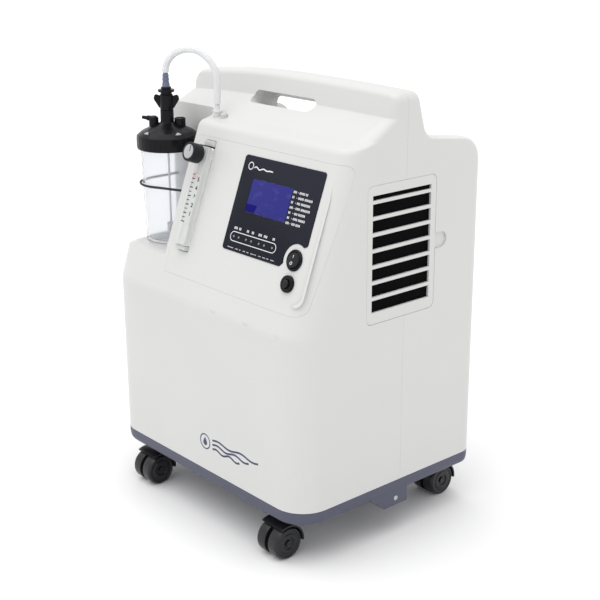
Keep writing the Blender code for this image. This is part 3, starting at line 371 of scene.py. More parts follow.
class Finish:
    """A Principled material and the nodes that vary it."""

    def __init__(self, name, colour, roughness, **fixed):
        self.material = bpy.data.materials.new(name)
        self.material.use_nodes = True
        self.tree = self.material.node_tree
        self.shader = self.tree.nodes["Principled BSDF"]
        self.shader.inputs["Base Color"].default_value = (*colour, 1.0)
        self.shader.inputs["Roughness"].default_value = roughness
        self.colour = colour
        for socket, value in fixed.items():
            self.shader.inputs[socket.replace("_", " ")].default_value = value

    def node(self, kind, settings=None, values=(), output=0):
        """A node with its settings, then the values or links of its sockets."""
        made = self.tree.nodes.new(kind)
        for key, value in (settings or {}).items():
            setattr(made, key, value)
        pairs = values.items() if isinstance(values, dict) else enumerate(values)
        for key, value in pairs:
            if isinstance(value, Value):
                self.tree.links.new(value.socket, made.inputs[key])
            else:
                made.inputs[key].default_value = value
        return Value(self, made.outputs[output])

    def place(self):
        """The object coordinates as a vector."""
        return self.node("ShaderNodeTexCoord", output=3)

    def axes(self):
        """The object coordinates as three numbers."""
        split = self.node("ShaderNodeSeparateXYZ", None, [self.place()])
        outputs = split.socket.node.outputs
        return [Value(self, outputs[i]) for i in range(3)]

    def noise(self, scale, detail=2.0, stretch=(1.0, 1.0, 1.0)):
        """Noise about 0.5 over the object, stretched along an axis by a scale under 1."""
        mapped = self.node("ShaderNodeMapping", None, {"Vector": self.place(), "Scale": stretch})
        return self.node("ShaderNodeTexNoise", None, {"Vector": mapped, "Scale": scale, "Detail": detail})

    def mix(self, mask, first, second):
        """A colour that goes from first to second as the mask goes from 0 to 1."""
        colours = [value if isinstance(value, Value) else (*value, 1.0) for value in (first, second)]
        return self.node("ShaderNodeMix", {"data_type": "RGBA"},
                         {0: mask, 6: colours[0], 7: colours[1]}, output=2)

    def feed(self, socket, value):
        """Link a value to a socket of the shader."""
        self.tree.links.new(value.socket, self.shader.inputs[socket])

    def relief(self, height, depth):
        """Raise the surface by height times depth metres."""
        self.feed("Normal", self.node("ShaderNodeBump", None,
                                      {"Height": height, "Distance": depth, "Strength": 1.0}))


def plastic(name, colour, roughness, grain=0.000012, shift=0.04, **fixed):
    """Moulded plastic: a fine moulded grain, and slow changes in gloss and tone."""
    made = Finish(name, colour, roughness, **fixed)
    slow = made.noise(7.0)
    made.feed("Roughness", slow * 0.10 + (roughness - 0.05))
    darker = tuple(c * (1.0 - shift) for c in colour)
    made.feed("Base Color", made.mix(slow.rise(0.35, 0.65), colour, darker))
    made.relief(made.noise(1400.0, 1.0), grain)
    return made


def metal(name, colour, roughness, stretch=(1.0, 1.0, 1.0)):
    """Bare metal with fine brushing along the axis whose stretch is under 1."""
    made = Finish(name, colour, roughness, Metallic=1.0)
    brushed = made.noise(500.0, 3.0, stretch)
    made.feed("Roughness", brushed * 0.20 + (roughness - 0.10))
    made.relief(brushed, 0.00002)
    return made


def clear(name, colour, roughness, **fixed):
    """Clear plastic: it lets light through and its gloss is slightly uneven."""
    made = Finish(name, colour, roughness, **fixed)
    made.feed("Roughness", made.noise(30.0) * 0.04 + (roughness - 0.02))
    return made


def overlay_film():
    """Dark film whose colour is lightened up the panel as a painted sheen, and a fine textured face."""
    made = Finish("overlay_film", (0.010, 0.011, 0.020), 0.42, Specular_IOR_Level=0.08)
    x, _, z = made.axes()
    # Painted sheen: the film's colour turns lighter up the panel and towards its right.
    high = (z + x * 0.5).rise(0.36, 0.56)
    made.feed("Base Color", made.mix(high, (0.0085, 0.0095, 0.0160), (0.0210, 0.0225, 0.0330)))
    made.relief(made.noise(1800.0, 1.0), 0.000015)
    return made


def lcd_glass():
    """Unlit blue display glass, with the deeper blue of a shaded corner at its lower left."""
    made = Finish("lcd_glass", (0.030, 0.027, 0.190), 0.30, Specular_IOR_Level=0.06)
    x, _, z = made.axes()
    foot = PANEL_FOOT[1] - DATUM
    up = (z - foot) / math.cos(PANEL_TILT)
    left = (x - up * 0.35).rise(LCD_X[0] - LCD_V[0] * 0.35 + 0.0170, LCD_X[0] - LCD_V[0] * 0.35 + 0.0150)
    low = up.rise(LCD_V[0] + 0.0105, LCD_V[0] + 0.0090)
    smear = made.noise(60.0, 3.0, (1.0, 1.0, 2.5)).rise(0.52, 0.70)
    blue = made.mix(smear, (0.029, 0.028, 0.185), (0.042, 0.041, 0.225))
    made.feed("Base Color", made.mix(left * low, blue, (0.004, 0.002, 0.130)))
    return made


def foam():
    """Open-cell filter foam."""
    made = Finish("filter_foam", (0.0030, 0.0030, 0.0036), 0.95, Specular_IOR_Level=0.05)
    cells = made.node("ShaderNodeTexVoronoi", None, {"Vector": made.place(), "Scale": 900.0})
    made.relief(cells, 0.0004)
    return made


WHITE = plastic("white_shell", (0.600, 0.602, 0.593), 0.36, shift=0.015, Specular_IOR_Level=0.35)
BASE_GREY = plastic("grey_base", (0.074, 0.078, 0.118), 0.48, Specular_IOR_Level=0.40)
BLACK = plastic("black_plastic", (0.0050, 0.0050, 0.0070), 0.24, Specular_IOR_Level=0.16)
KNOB_BLACK = plastic("knob_black", (0.0100, 0.0105, 0.0125), 0.40, Specular_IOR_Level=0.22)
CASTER_BLACK = plastic("caster_black", (0.0100, 0.0100, 0.0125), 0.32, Specular_IOR_Level=0.40)
FILM = overlay_film()
LCD = lcd_glass()
ACRYLIC = clear("clear_acrylic", (0.930, 0.940, 0.935), 0.06, Transmission_Weight=0.55, IOR=1.18)
JAR = clear("jar_clear", (0.955, 0.965, 0.985), 0.18, Transmission_Weight=0.88, IOR=1.15)
TUBE = clear("tube_clear", (0.800, 0.805, 0.815), 0.25, Transmission_Weight=0.25, IOR=1.40)
ADAPTER = plastic("adapter_blue", (0.110, 0.125, 0.210), 0.26, Coat_Weight=0.4)
STRAP = plastic("strap_rubber", (0.014, 0.014, 0.015), 0.60)
FOAM = foam()
ZINC = metal("zinc_steel", (0.56, 0.57, 0.58), 0.34)
CAST = metal("cast_aluminium", (0.52, 0.53, 0.54), 0.52)
MOTOR = plastic("motor_lacquer", (0.060, 0.065, 0.075), 0.42)
ISOLATOR = plastic("isolator_rubber", (0.022, 0.022, 0.023), 0.80)
BED = metal("bed_aluminium", (0.62, 0.63, 0.65), 0.30, (1.0, 1.0, 0.05))
BOARD = plastic("board_green", (0.018, 0.110, 0.045), 0.42)
COPPER = metal("copper_tube", (0.72, 0.36, 0.22), 0.30)
PRINT_WHITE = plastic("print_white", (0.72, 0.73, 0.75), 0.45)
PRINT_BLACK = plastic("print_black", (0.012, 0.012, 0.014), 0.50, Specular_IOR_Level=0.20)
PRINT_RED = plastic("print_red", (0.620, 0.160, 0.170), 0.45)
PRINT_GREY = plastic("print_grey", (0.220, 0.220, 0.235), 0.45)
MARK_NAVY = plastic("mark_navy", (0.030, 0.034, 0.090), 0.42)
CAP_SILVER = plastic("cap_silver", (0.400, 0.400, 0.420), 0.30)
# A darker copy of the white plastic: painted shade, used on the flowmeter's foot and head in its recess and on the
# outlet cap.
SHADED_WHITE_GREY = plastic("white_painted_shade_grey", (0.520, 0.535, 0.525), 0.45)


# ---------------------------------------------------------------- the cabinet's form
def front_profile():
    """The front edge seen from the side, as (y, z, radius) corners from the bottom up."""
    slope = math.tan(PANEL_TILT)
    foot_y, foot_z = PANEL_FOOT
    meet_z = foot_z + (-DEPTH / 2 - foot_y) / slope
    brow_z = 0.5005
    brow_y = foot_y + (brow_z - foot_z) * slope
    return [(-DEPTH / 2, 0.070, 0), (-DEPTH / 2, meet_z, 0.030), (brow_y, brow_z, 0.012),
            (-0.050, 0.5065, 0.030), (-0.0095, 0.5305, 0.004), (-0.0030, BODY_TOP, 0.008),
            (0.015, BODY_TOP, 0)]


def rear_profile():
    """The rear edge seen from the side, from the bottom up."""
    return [(DEPTH / 2, 0.070, 0), (DEPTH / 2, 0.4895, 0.034), (0.0535, 0.5015, 0.022),
            (0.0335, BODY_TOP, 0.010), (0.015, BODY_TOP, 0)]


def inset_profile(corners, steps, inset, side):
    """Round an open profile's corners and move it inwards, square to each stretch."""
    line = rounded(corners, steps, closed=False)
    along = np.diff(line, axis=0)
    along /= np.linalg.norm(along, axis=1, keepdims=True)
    normal = side * np.stack([along[:, 1], -along[:, 0]], axis=1)
    before = np.vstack([normal[:1], normal])
    after = np.vstack([normal, normal[-1:]])
    spread = 1.0 + np.sum(before * after, axis=1, keepdims=True)
    return (line + inset * (before + after) / spread)[:-1]


def plan_ring(left, right, front, rear, front_radius, rear_radius, corner_steps, span_steps):
    """A rounded rectangle seen from above: front edge left to right, rear edge right to left."""
    inner = np.linspace(left + front_radius, right - front_radius, span_steps + 1)[1:-1]
    corners = [arc((left + front_radius, front + front_radius), front_radius, 180, 270, corner_steps),
               arc((right - front_radius, front + front_radius), front_radius, 270, 360, corner_steps),
               arc((right - rear_radius, rear - rear_radius), rear_radius, 0, 90, corner_steps),
               arc((left + rear_radius, rear - rear_radius), rear_radius, 90, 180, corner_steps)]
    front_run = np.stack([inner, np.full_like(inner, front)], axis=1)
    rear_run = np.stack([inner[::-1], np.full_like(inner, rear)], axis=1)
    return np.vstack([corners[0], front_run, corners[1], corners[2], rear_run, corners[3]])


def ringed(name, rings):
    """Plan rings skinned from the bottom up, both ends closed with strips from front edge to rear."""
    rings = np.asarray(rings, float)
    levels, count = rings.shape[:2]
    top = (levels - 1) * count
    k = np.arange(count // 2 - 1)
    lid = np.stack([top + k, top + k + 1, top + count - 2 - k, top + count - 1 - k], axis=-1)
    floor = np.stack([count - 1 - k, count - 2 - k, k + 1, k], axis=-1)
    return shape(name, rings, np.vstack([quads(levels, count), lid, floor]).tolist())


def front_corner_radius(z):
    """The plan radius of the two front corners at a height."""
    return np.interp(z, [0.30, 0.34, 0.50, 0.54, BODY_TOP], [FRONT_RADIUS, 0.024, 0.022, 0.012, 0.008])


def crest_reach(z, radius, inset):
    """How far the body reaches from its middle at a height, at an end of the crest with this radius."""
    rise = max(0.0, z - (BODY_TOP - radius))
    return WIDTH / 2 - radius + math.sqrt(max(0.0, (radius - inset) ** 2 - rise ** 2))


def cabinet_form(name, inset, bottom, steps=9):
    """The cabinet's form moved inwards by inset: rounded plans stacked up the side profile.

    The half width closes in a quarter circle at each of the crest's ends, and the crest is lowered
    towards them by the square of x, more on the left.
    """
    front = inset_profile(front_profile(), steps, inset, 1.0)
    rear = inset_profile(rear_profile(), steps + 2, inset, -1.0)
    ends = [BODY_TOP - radius + (radius - inset) * np.sin(np.radians(np.linspace(6.0, 86.0, 14)))
            for radius, _ in CREST_ENDS]
    levels = np.unique(np.round(np.concatenate([front[:, 1], rear[:, 1], *ends]), 5))
    levels = levels[levels > bottom + 0.001]
    levels = np.concatenate([[bottom], levels[:-1][np.diff(levels) > 0.00025], levels[-1:]])
    rings = []
    for z in levels:
        left, right = (crest_reach(z, radius, inset) for radius, _ in CREST_ENDS)
        rear_radius = np.interp(z, [0.46, 0.51, 0.54, BODY_TOP], [REAR_RADIUS, 0.014, 0.010, 0.007])
        ring = plan_ring(-left, right, np.interp(z, front[:, 1], front[:, 0]),
                         np.interp(z, rear[:, 1], rear[:, 0]),
                         front_corner_radius(z) - inset, rear_radius - inset, 9, 16)
        share = min(1.0, max(0.0, (z - 0.500) / (BODY_TOP - 0.500)))
        arch = np.where(ring[:, 0] < 0.0, CREST_ENDS[0][1], CREST_ENDS[1][1])
        drop = arch * (ring[:, 0] * 2 / WIDTH) ** 2 * share ** 2 * (3 - 2 * share)
        rings.append(np.column_stack([ring, z - drop]))
    return ringed(name, rings)


def pocket(grow):
    """The bottle's pocket: open above, in front and to the left, over a round-shouldered shelf."""
    outline = rounded([(-0.300, -0.300, 0), (POCKET_RIGHT + grow, -0.300, 0),
                       (POCKET_RIGHT + grow, POCKET_BACK + grow, POCKET_CORNER - grow),
                       (-0.300, POCKET_BACK + grow, 0)], 12)
    space = slab("pocket_space", outline, 0.300, 0.620, top=0.0)
    radius = SHELF_ROUND - grow
    rings = []
    for angle in np.radians(np.linspace(0.0, 90.0, 13)):
        inset = grow - 0.001 + radius * (1.0 - math.cos(angle))
        ring = plan_ring(-WIDTH / 2 + inset, 0.0, -DEPTH / 2 + inset, 0.050,
                         max(0.004, FRONT_RADIUS - inset), 0.010, 9, 3)
        height = SHELF_TOP - grow - radius * (1.0 - math.sin(angle))
        rings.append(np.column_stack([ring, np.full(len(ring), height)]))
    foot = rings[0].copy()
    foot[:, 2] = 0.280
    return carve(space, ringed("shelf", [foot] + rings))


def hand_slot(grow, reach):
    """The handle's hand hole: a stadium that runs through the crest, downwards to the rear."""
    radius = SLOT_RADIUS + grow
    side = SLOT_HALF - SLOT_RADIUS
    outline = np.vstack([arc((side, 0.0), radius, -90, 90, 14), arc((-side, 0.0), radius, 90, 270, 14)])
    place = move(*SLOT_MIDDLE) @ turn(SLOT_TILT, "X") @ FRONT_PLANE
    return slab("hand_slot", outline, -reach[1], -reach[0], place, top=0.0)


def rear_scoop(grow):
    """The hollow behind the crest, open above and to the rear, where the fingers come through."""
    low, high = SCOOP
    left, right, front, corner = low[0] - grow, high[0] + grow, low[1] - grow, 0.012 + grow
    outline = rounded([(left, front, corner), (right, front, corner), (right, high[1], 0), (left, high[1], 0)], 10)
    return slab("rear_scoop", outline, low[2] - grow, high[2] + grow, top=0.0)


def fascia_zone(margin):
    """What the sloped control fascia takes out of the cabinet, with a margin all round."""
    lean = 0.411
    back = -0.1178 + lean * (FASCIA_BOTTOM - 0.349)
    back_top = -0.1178 + lean * (FASCIA_TOP - 0.349)
    outline = rounded([(-0.200, FASCIA_BOTTOM - margin, 0), (back + margin, FASCIA_BOTTOM - margin, 0.018),
                       (back_top + margin, FASCIA_TOP + margin, 0.009), (-0.200, FASCIA_TOP + margin, 0)], 10)
    return slab("fascia_zone", outline, FASCIA_LEFT - margin, 0.220, SIDE_PLANE, top=0.0)


def door_hole():
    """The opening in the right side for the intake door."""
    along, up = ((low - DOOR_GAP, high + DOOR_GAP) for low, high in (DOOR_Y, DOOR_Z))
    outline = block_outline(along, up, DOOR_CORNER)
    return slab("door_hole", outline, -0.015, 0.015, move(WIDTH / 2) @ SIDE_PLANE, top=0.0)


def finger_recess():
    """The D-shaped hollow behind the door's free edge."""
    middle, radius = 0.3760, 0.0098
    near = DOOR_Y[1] - 0.002
    outline = np.vstack([[(near, middle - radius)], arc((0.0752, middle), radius, -90, 90, 14),
                         [(near, middle + radius)]])
    return slab("finger_recess", outline, -0.0026, 0.002, move(WIDTH / 2) @ SIDE_PLANE, top=0.0)


def brick(low, high, place=None):
    """A plain block between two corners."""
    outline = [(low[0], low[1]), (high[0], low[1]), (high[0], high[1]), (low[0], high[1])]
    return slab("brick", outline, low[2], high[2], place, top=0.0)


def drum(radius, low, high, place=None, steps=40):
    """A plain cylinder on its own Z axis."""
    return slab("drum", arc((0.0, 0.0), radius, 0, 360, steps)[:-1], low, high, place, top=0.0)


def cavity():
    """The hollow inside the cabinet, less the walls of the pocket, the hand hole and the scoop."""
    return carve(cabinet_form("cavity", WALL, 0.060, 6), pocket(WALL), hand_slot(WALL, (-0.080, 0.050)),
                 rear_scoop(WALL))


def label_outline(grow):
    """The overlay's outline: a rounded rectangle with a bite round the power switch."""
    left, right = LABEL_X[0] - grow, LABEL_X[1] + grow
    low, high = LABEL_V[0] - grow, LABEL_V[1] + grow
    bite = [(x, v, 0.0) for x, v in arc(SWITCH, LABEL_BITE - grow, 200, 60, 24)]
    return rounded([(left, low, 0.004), (0.1250 + grow, low, 0.003), *bite,
                    (right, 0.0600 - grow, 0.003), (right, high, 0.004), (left, high, 0.004)], 7)


def make_shells():
    """Front shell, rear shell and fascia, cut from one form so that their seams follow it."""
    half = SEAM / 2
    front = carve(cabinet_form("front_shell_skin", 0.0, SHELL_BOTTOM),
                  brick((-0.30, SEAM_Y - half, 0.0), (0.30, 0.30, 0.70)), cavity(), pocket(0.0),
                  hand_slot(0.0, (-0.080, 0.050)), fascia_zone(SEAM), door_hole(),
                  drum(0.0053, 0.480, 0.540, move(*OUTLET)),
                  *[drum(0.006, -0.0010, 0.010, move(x, -DEPTH / 2, DIMPLE_Z) @ FRONT_PLANE)
                    for x in DIMPLES])
    finished(front, WHITE, "cabinet", "white_shell", "front_shell")

    inlet = brick((INLET_X - 0.0145, 0.130, INLET_Z - 0.0125), (INLET_X + 0.0145, 0.170, INLET_Z + 0.0125))
    seat = brick((INLET_X - 0.0204, DEPTH / 2 - 0.0018, INLET_Z - 0.0154),
                 (INLET_X + 0.0204, 0.170, INLET_Z + 0.0154))
    louvres = [brick((0.020, 0.130, 0.100 + 0.013 * row), (0.140, 0.170, 0.106 + 0.013 * row))
               for row in range(5)]
    rear = carve(cabinet_form("rear_shell_skin", 0.0, SHELL_BOTTOM),
                 brick((-0.30, -0.30, 0.0), (0.30, SEAM_Y + half, 0.70)), cavity(),
                 hand_slot(0.0, (-0.080, 0.050)), rear_scoop(0.0), door_hole(), finger_recess(), inlet, seat,
                 *louvres)
    finished(rear, WHITE, "cabinet", "white_shell", "rear_shell")

    fascia = carve(cabinet_form("fascia_skin", 0.0, SHELL_BOTTOM), fascia_zone(0.0), operation="INTERSECT")
    side = FLOW_HALF + 0.0005
    recess = slab("recess", block_outline((FLOW_X - side, FLOW_X + side), FLOW_RECESS, 0.0015),
                  -0.0043, 0.020, PANEL, top=0.0)
    carve(fascia, cabinet_form("inside", PANEL_WALL, 0.060, 6), recess,
          drum(0.0108, -0.02, 0.02, on_panel(*SWITCH)), drum(0.0073, -0.02, 0.02, on_panel(*BREAKER)),
          slab("label_seat", label_outline(0.0003), -0.0005, 0.0005, PANEL, top=0.0))
    finished(fascia, WHITE, "cabinet", "white_shell", "fascia_panel")


# ---------------------------------------------------------------- what sits on the sloped panel
def word_cells(x, v, letters, size, pitch=0.72):
    """Cells for a word of plain upright marks: (x low, v low, x high, v high), all of one height."""
    start = x + size * pitch * np.arange(letters)
    low = np.full(letters, v)
    return np.stack([start, low, start + size * 0.42, low + size], axis=1)


def make_label():
    """The overlay film, its display and the plain marks printed on it."""
    film = slab("label_film", label_outline(0.0), -0.0004, LABEL_OUT, PANEL, top=0.0002)
    gap = 0.0003
    carve(film, brick((LCD_X[0] - gap, LCD_V[0] - gap, -0.01), (LCD_X[1] + gap, LCD_V[1] + gap, 0.01), PANEL))
    finished(film, FILM, "cabinet", "overlay_film", "control_label")
    glass = slab("lcd_pane", block_outline(LCD_X, LCD_V, 0.001, 3), -0.0001, 0.0008, PANEL, top=0.0001)
    finished(glass, LCD, "cabinet", "lcd_blue", "lcd_window")

    cells = []
    for row, letters in enumerate(((5, 2), (5, 7), (3, 8), (4, 8), (3, 6), (4, 6), (3, 4))):
        v = 0.1140 - 0.00598 * row
        cells.append(word_cells(0.1178, v, 2 if row % 3 else 3, 0.0027))
        cells.append([(0.1247, v + 0.0010, 0.1262, v + 0.0015)])
        cells.append(word_cells(0.1280, v, letters[0], 0.0027))
        cells.append(word_cells(0.1292 + 0.00194 * letters[0], v, letters[1], 0.0027))
    for x, letters in ((0.0335, 3), (0.0425, 2), (0.0570, 2), (0.0662, 2), (0.0785, 3), (0.0882, 3),
                       (0.1040, 2)):
        cells.append(word_cells(x, 0.0556, letters, 0.0030))
    for x, letters in zip(np.linspace(0.0295, 0.1090, 12), (9, 5, 7, 4, 6, 5, 8, 4, 6, 7, 5, 8)):
        cells.append(word_cells(x, 0.0328, letters, 0.0010, 0.80))
    marks = blocks("label_marks", np.vstack(cells), 0.0007, LABEL_OUT + 0.00004, PANEL)
    finished(marks, PRINT_WHITE, "cabinet", "overlay_film")

    middle, half, line = 0.0470, 0.0060, 0.0009
    ring = np.vstack([arc((0.1075, middle), half, -90, 90, 14), arc((0.0355, middle), half, 90, 270, 14)])
    frame_line = carve(slab("indicator_frame", ring, 0.0007, LABEL_OUT + 0.00005, PANEL, top=0.0),
                       slab("inner", moved_in(ring, line), 0.0, 0.002, PANEL, top=0.0))
    finished(frame_line, PRINT_WHITE, "cabinet", "overlay_film")
    for number, x in enumerate((0.0362, 0.0452, 0.0590, 0.0687, 0.0826, 0.0923, 0.1067)):
        lens = slab(f"indicator_lens_{number}", arc((x, middle), 0.0014, 0, 360, 16)[:-1], 0.0006,
                    LABEL_OUT + 0.0003, PANEL, top=0.0003)
        finished(lens, PRINT_GREY, "cabinet", "overlay_film")

    x, v = 0.0340, 0.1325
    emblem = carve(slab("emblem_ring", arc((x, v), 0.0048, 0, 360, 32)[:-1], 0.0007, LABEL_OUT + 0.00005,
                        PANEL, top=0.0), drum(0.0037, 0.0, 0.002, on_panel(x, v)))
    t = np.linspace(0.0, 1.0, 40)
    wave = np.stack([x + 0.0065 + 0.034 * t, v - 0.0015 + 0.0016 * np.sin(TAU * 2.5 * t) * (1 - t),
                     np.full_like(t, LABEL_OUT)], axis=1)
    dash = [(-0.0007, -0.0002), (0.0007, -0.0002), (0.0007, 0.00005), (-0.0007, 0.00005)]
    join(emblem, swept("emblem_wave", wave, dash, (0.0, 0.0, 1.0), PANEL))
    finished(emblem, PRINT_WHITE, "cabinet", "overlay_film")


def make_switch():
    """Round rocker switch in its flange, with its two marks, and the breaker below it."""
    flange = turned("switch_flange", rounded([
        (0.0098, 0.0021, 0.0003), (0.0114, 0.0024, 0.0006), (0.0125, 0.0014, 0.0006), (0.0125, 0.0003, 0),
        (0.0105, 0.0003, 0), (0.0105, -0.0150, 0), (0.0085, -0.0150, 0), (0.0085, -0.0060, 0),
        (0.0098, -0.0060, 0)], 4), on_panel(*SWITCH), closed=True)
    finished(flange, BLACK, "cabinet", "black_plastic", "switch_bezel")
    tilted = on_panel(*SWITCH, 0.0012) @ turn(-8.0, "X")
    cap = turned("rocker_cap", [(0.0, -0.0025), (0.0092, -0.0025), (0.0092, 0.0014), (0.0089, 0.0019),
                                (0.0082, 0.0021), (0.0, 0.0020)], tilted)
    finished(cap, KNOB_BLACK, "rocker", "black_plastic", "switch_rocker")
    ring = carve(drum(0.0019, 0.0015, 0.00215, tilted @ move(-0.0012, -0.0042), 28),
                 drum(0.0012, 0.0, 0.004, tilted @ move(-0.0012, -0.0042), 28))
    join(ring, slab("on_mark", block_outline((-0.0016, -0.0008), (0.0022, 0.0056), 0.0003, 2), 0.0015, 0.00215,
                    tilted, top=0.0))
    ring.name = "rocker_marks"
    finished(ring, PRINT_WHITE, "rocker", "black_plastic")

    nut = turned("breaker_nut", rounded([
        (0.0052, 0.0034, 0.0003), (0.0072, 0.0042, 0.0008), (0.0098, 0.0034, 0.0010), (0.0101, 0.0003, 0),
        (0.0070, 0.0003, 0), (0.0070, -0.0220, 0), (0.0045, -0.0220, 0), (0.0045, -0.0080, 0),
        (0.0052, -0.0080, 0)], 4), on_panel(*BREAKER), closed=True, lobes=(24, 0.006))
    finished(nut, BLACK, "cabinet", "black_plastic", "breaker_body")
    button = turned("reset_cap", rounded([(0.0, -0.0070, 0), (0.0047, -0.0070, 0), (0.0047, 0.0052, 0),
                                          (0.0036, 0.0064, 0.0006), (0.0, 0.0062, 0)], 4, closed=False),
                    on_panel(*BREAKER), 32)
    finished(button, KNOB_BLACK, "reset_button", "black_plastic", "breaker_button")


def lettering(text, size, place, low, high):
    """Plain digits as one flat mesh, thick from low to high."""
    curve = bpy.data.curves.new("digits", "FONT")
    curve.body = text
    curve.size = size
    curve.align_x = "CENTER"
    curve.align_y = "CENTER"
    curve.extrude = (high - low) / 2
    curve.offset = 0.00035
    guide = bpy.data.objects.new("digits", curve)
    bpy.context.scene.collection.objects.link(guide)
    bpy.context.view_layer.update()
    mesh = bpy.data.meshes.new_from_object(guide.evaluated_get(bpy.context.evaluated_depsgraph_get()))
    bpy.data.objects.remove(guide, do_unlink=True)
    mesh.transform(Matrix((move(0, 0, -DATUM) @ place @ move(0.0, 0.0, (low + high) / 2)).tolist()))
    return mesh


def make_flowmeter():
    """Clear flowmeter with its scale, float, gaskets and needle valve knob."""
    x = FLOW_X
    block = slab("flow_block", block_outline((x - FLOW_HALF, x + FLOW_HALF), FLOW_V, 0.0008, 4),
                 -0.0040, FLOW_OUT, PANEL, top=0.0007, bottom=0.0003)
    along = turn(-90, "X")
    carve(block, drum(0.0036, 0.0, 0.20, on_panel(x, 0.0, FLOAT_BORE_OUT) @ along, 24),
          drum(0.0031, 0.0067, 0.02, on_panel(x, FLOW_KNOB_V), 24))
    finished(block, ACRYLIC, "cabinet", "clear_acrylic", "flowmeter_block")

    ticks = []
    for step in range(45):
        v = SCALE_ZERO + SCALE_UNIT / 8 * step
        reach, thick = (0.0024, 0.00014) if step % 4 else (0.0048, 0.00060) if step % 8 else (0.0058, 0.00072)
        ticks.append((x - 0.0070, v - thick, x - 0.0070 + reach, v + thick))
    scale = blocks("flow_scale", ticks, FLOW_OUT - 0.0001, FLOW_OUT + 0.00005, PANEL)
    finished(scale, PRINT_BLACK, "cabinet", "clear_acrylic")
    digits = bpy.data.objects.new("flow_digits", bpy.data.meshes.new("flow_digits"))
    bpy.context.scene.collection.objects.link(digits)
    work = bmesh.new()
    for number in range(1, 6):
        v = SCALE_ZERO + SCALE_UNIT * number
        work.from_mesh(lettering(str(number), 0.0070, on_panel(x + 0.0058, v), FLOW_OUT - 0.0001,
                                 FLOW_OUT + 0.00005))
    work.to_mesh(digits.data)
    work.free()
    finished(digits, PRINT_BLACK, "cabinet", "clear_acrylic")
    limits = [(x - 0.0066, 0.1022, x + 0.0070, 0.1031), (x - 0.0066, 0.1074, x + 0.0046, 0.1082)]
    red = blocks("flow_red_mark", limits, FLOW_OUT - 0.0001, FLOW_OUT + 0.00005, PANEL)
    finished(red, PRINT_RED, "cabinet", "clear_acrylic")

    # The foot and head take the darker grey copy of the white plastic, as painted recess shade.
    across = (x - FLOW_HALF, x + FLOW_HALF)
    plug = slab("flow_foot", block_outline(across, (FLOW_V[0] - 0.0062, FLOW_V[0] - 0.0003), 0.0012, 4),
                -0.0040, 0.0062, PANEL, top=0.0008)
    finished(plug, SHADED_WHITE_GREY, "cabinet", "clear_acrylic")
    seal = slab("flow_gasket", block_outline(across, (FLOW_V[1] + 0.0002, FLOW_V[1] + 0.0012), 0.0003, 2),
                -0.0040, FLOW_OUT - 0.0004, PANEL, top=0.0002)
    finished(seal, PRINT_BLACK, "cabinet", "isolator_rubber")
    head = slab("flow_head", block_outline(across, (FLOW_V[1] + 0.0013, FLOW_RECESS[1] - 0.0008), 0.0012, 4),
                -0.0040, 0.0030, PANEL, top=0.0008)
    finished(head, SHADED_WHITE_GREY, "cabinet", "clear_acrylic")

    ball = turned("float_ball_skin", [(0.0030 * math.sin(a), -0.0030 * math.cos(a))
                                      for a in np.linspace(0.0, math.pi, 17)],
                  on_panel(x, 0.0442, FLOAT_BORE_OUT), 32)
    finished(ball, BLACK, "float_ball", "black_plastic", "flow_float")

    knob = turned("flow_knob_grip", rounded([
        (0.0, 0.0070, 0), (0.0027, 0.0070, 0), (0.0027, 0.0140, 0), (0.0108, 0.0140, 0.0006),
        (0.0120, 0.0158, 0.0010), (0.0119, 0.0308, 0.0008), (0.0094, 0.0308, 0), (0.0090, 0.0304, 0),
        (0.0, 0.0304, 0)], 5, closed=False), on_panel(x, FLOW_KNOB_V), 96, lobes=(32, 0.006))
    finished(knob, KNOB_BLACK, "knob", "black_plastic", "flow_knob")
    disc = arc((x, FLOW_KNOB_V), 0.0088, 0, 360, 40)[:-1]
    cap = slab("flow_knob_cap", disc, 0.0304, 0.0308, PANEL, top=0.0002)
    finished(cap, CAP_SILVER, "knob", "black_plastic")
    stroke = block_outline((x + 0.0016, x + 0.0028), (FLOW_KNOB_V + 0.0005, FLOW_KNOB_V + 0.0080), 0.0004, 3)
    pointer = slab("flow_knob_pointer", stroke, 0.0306, 0.03095, PANEL, top=0.0)
    finished(pointer, PRINT_BLACK, "knob", "black_plastic")


def make_ridge():
    """The soft bead down the panel's right edge, which turns in above the bottom seam."""
    front = inset_profile(front_profile(), 9, 0.0, 1.0)
    heights = np.linspace(0.4640, 0.3420, 40)
    x = np.full_like(heights, 0.1745)
    bend = arc((0.1745 - 0.010, 0.3420), 0.010, 0, -90, 10)[1:]
    x = np.concatenate([x, bend[:, 0], np.linspace(0.1640, 0.1580, 4)])
    z = np.concatenate([heights, bend[:, 1], np.full(4, 0.3320)])
    radius = front_corner_radius(z)
    beyond = np.maximum(0.0, x - (WIDTH / 2 - radius))
    y = np.interp(z, front[:, 1], front[:, 0]) + radius - np.sqrt(radius ** 2 - beyond ** 2)
    bead = np.array([(0.0022 * math.cos(a), 0.0005 * math.sin(a) - 0.0001)
                     for a in np.linspace(0, TAU, 17)[:-1]])
    outward = np.array([0.0, -math.cos(PANEL_TILT), math.sin(PANEL_TILT)])
    fade = np.clip(np.minimum(np.arange(len(z)), np.arange(len(z))[::-1]) / 6.0, 0.05, 1.0)
    path = np.stack([x, y, z], axis=1)
    along = np.gradient(path, axis=0)
    along /= np.linalg.norm(along, axis=1, keepdims=True)
    side = np.cross(outward, along)
    side /= np.linalg.norm(side, axis=1, keepdims=True)
    up = np.cross(along, side)
    rings = (path[:, None] + fade[:, None, None] * (bead[None, :, :1] * side[:, None]
                                                    + bead[None, :, 1:] * up[:, None]))
    finished(stacked("panel_ridge", rings), WHITE, "cabinet", "white_shell", crease=80)


# ---------------------------------------------------------------- bottle, tube and outlet
STAND = move(*BOTTLE)


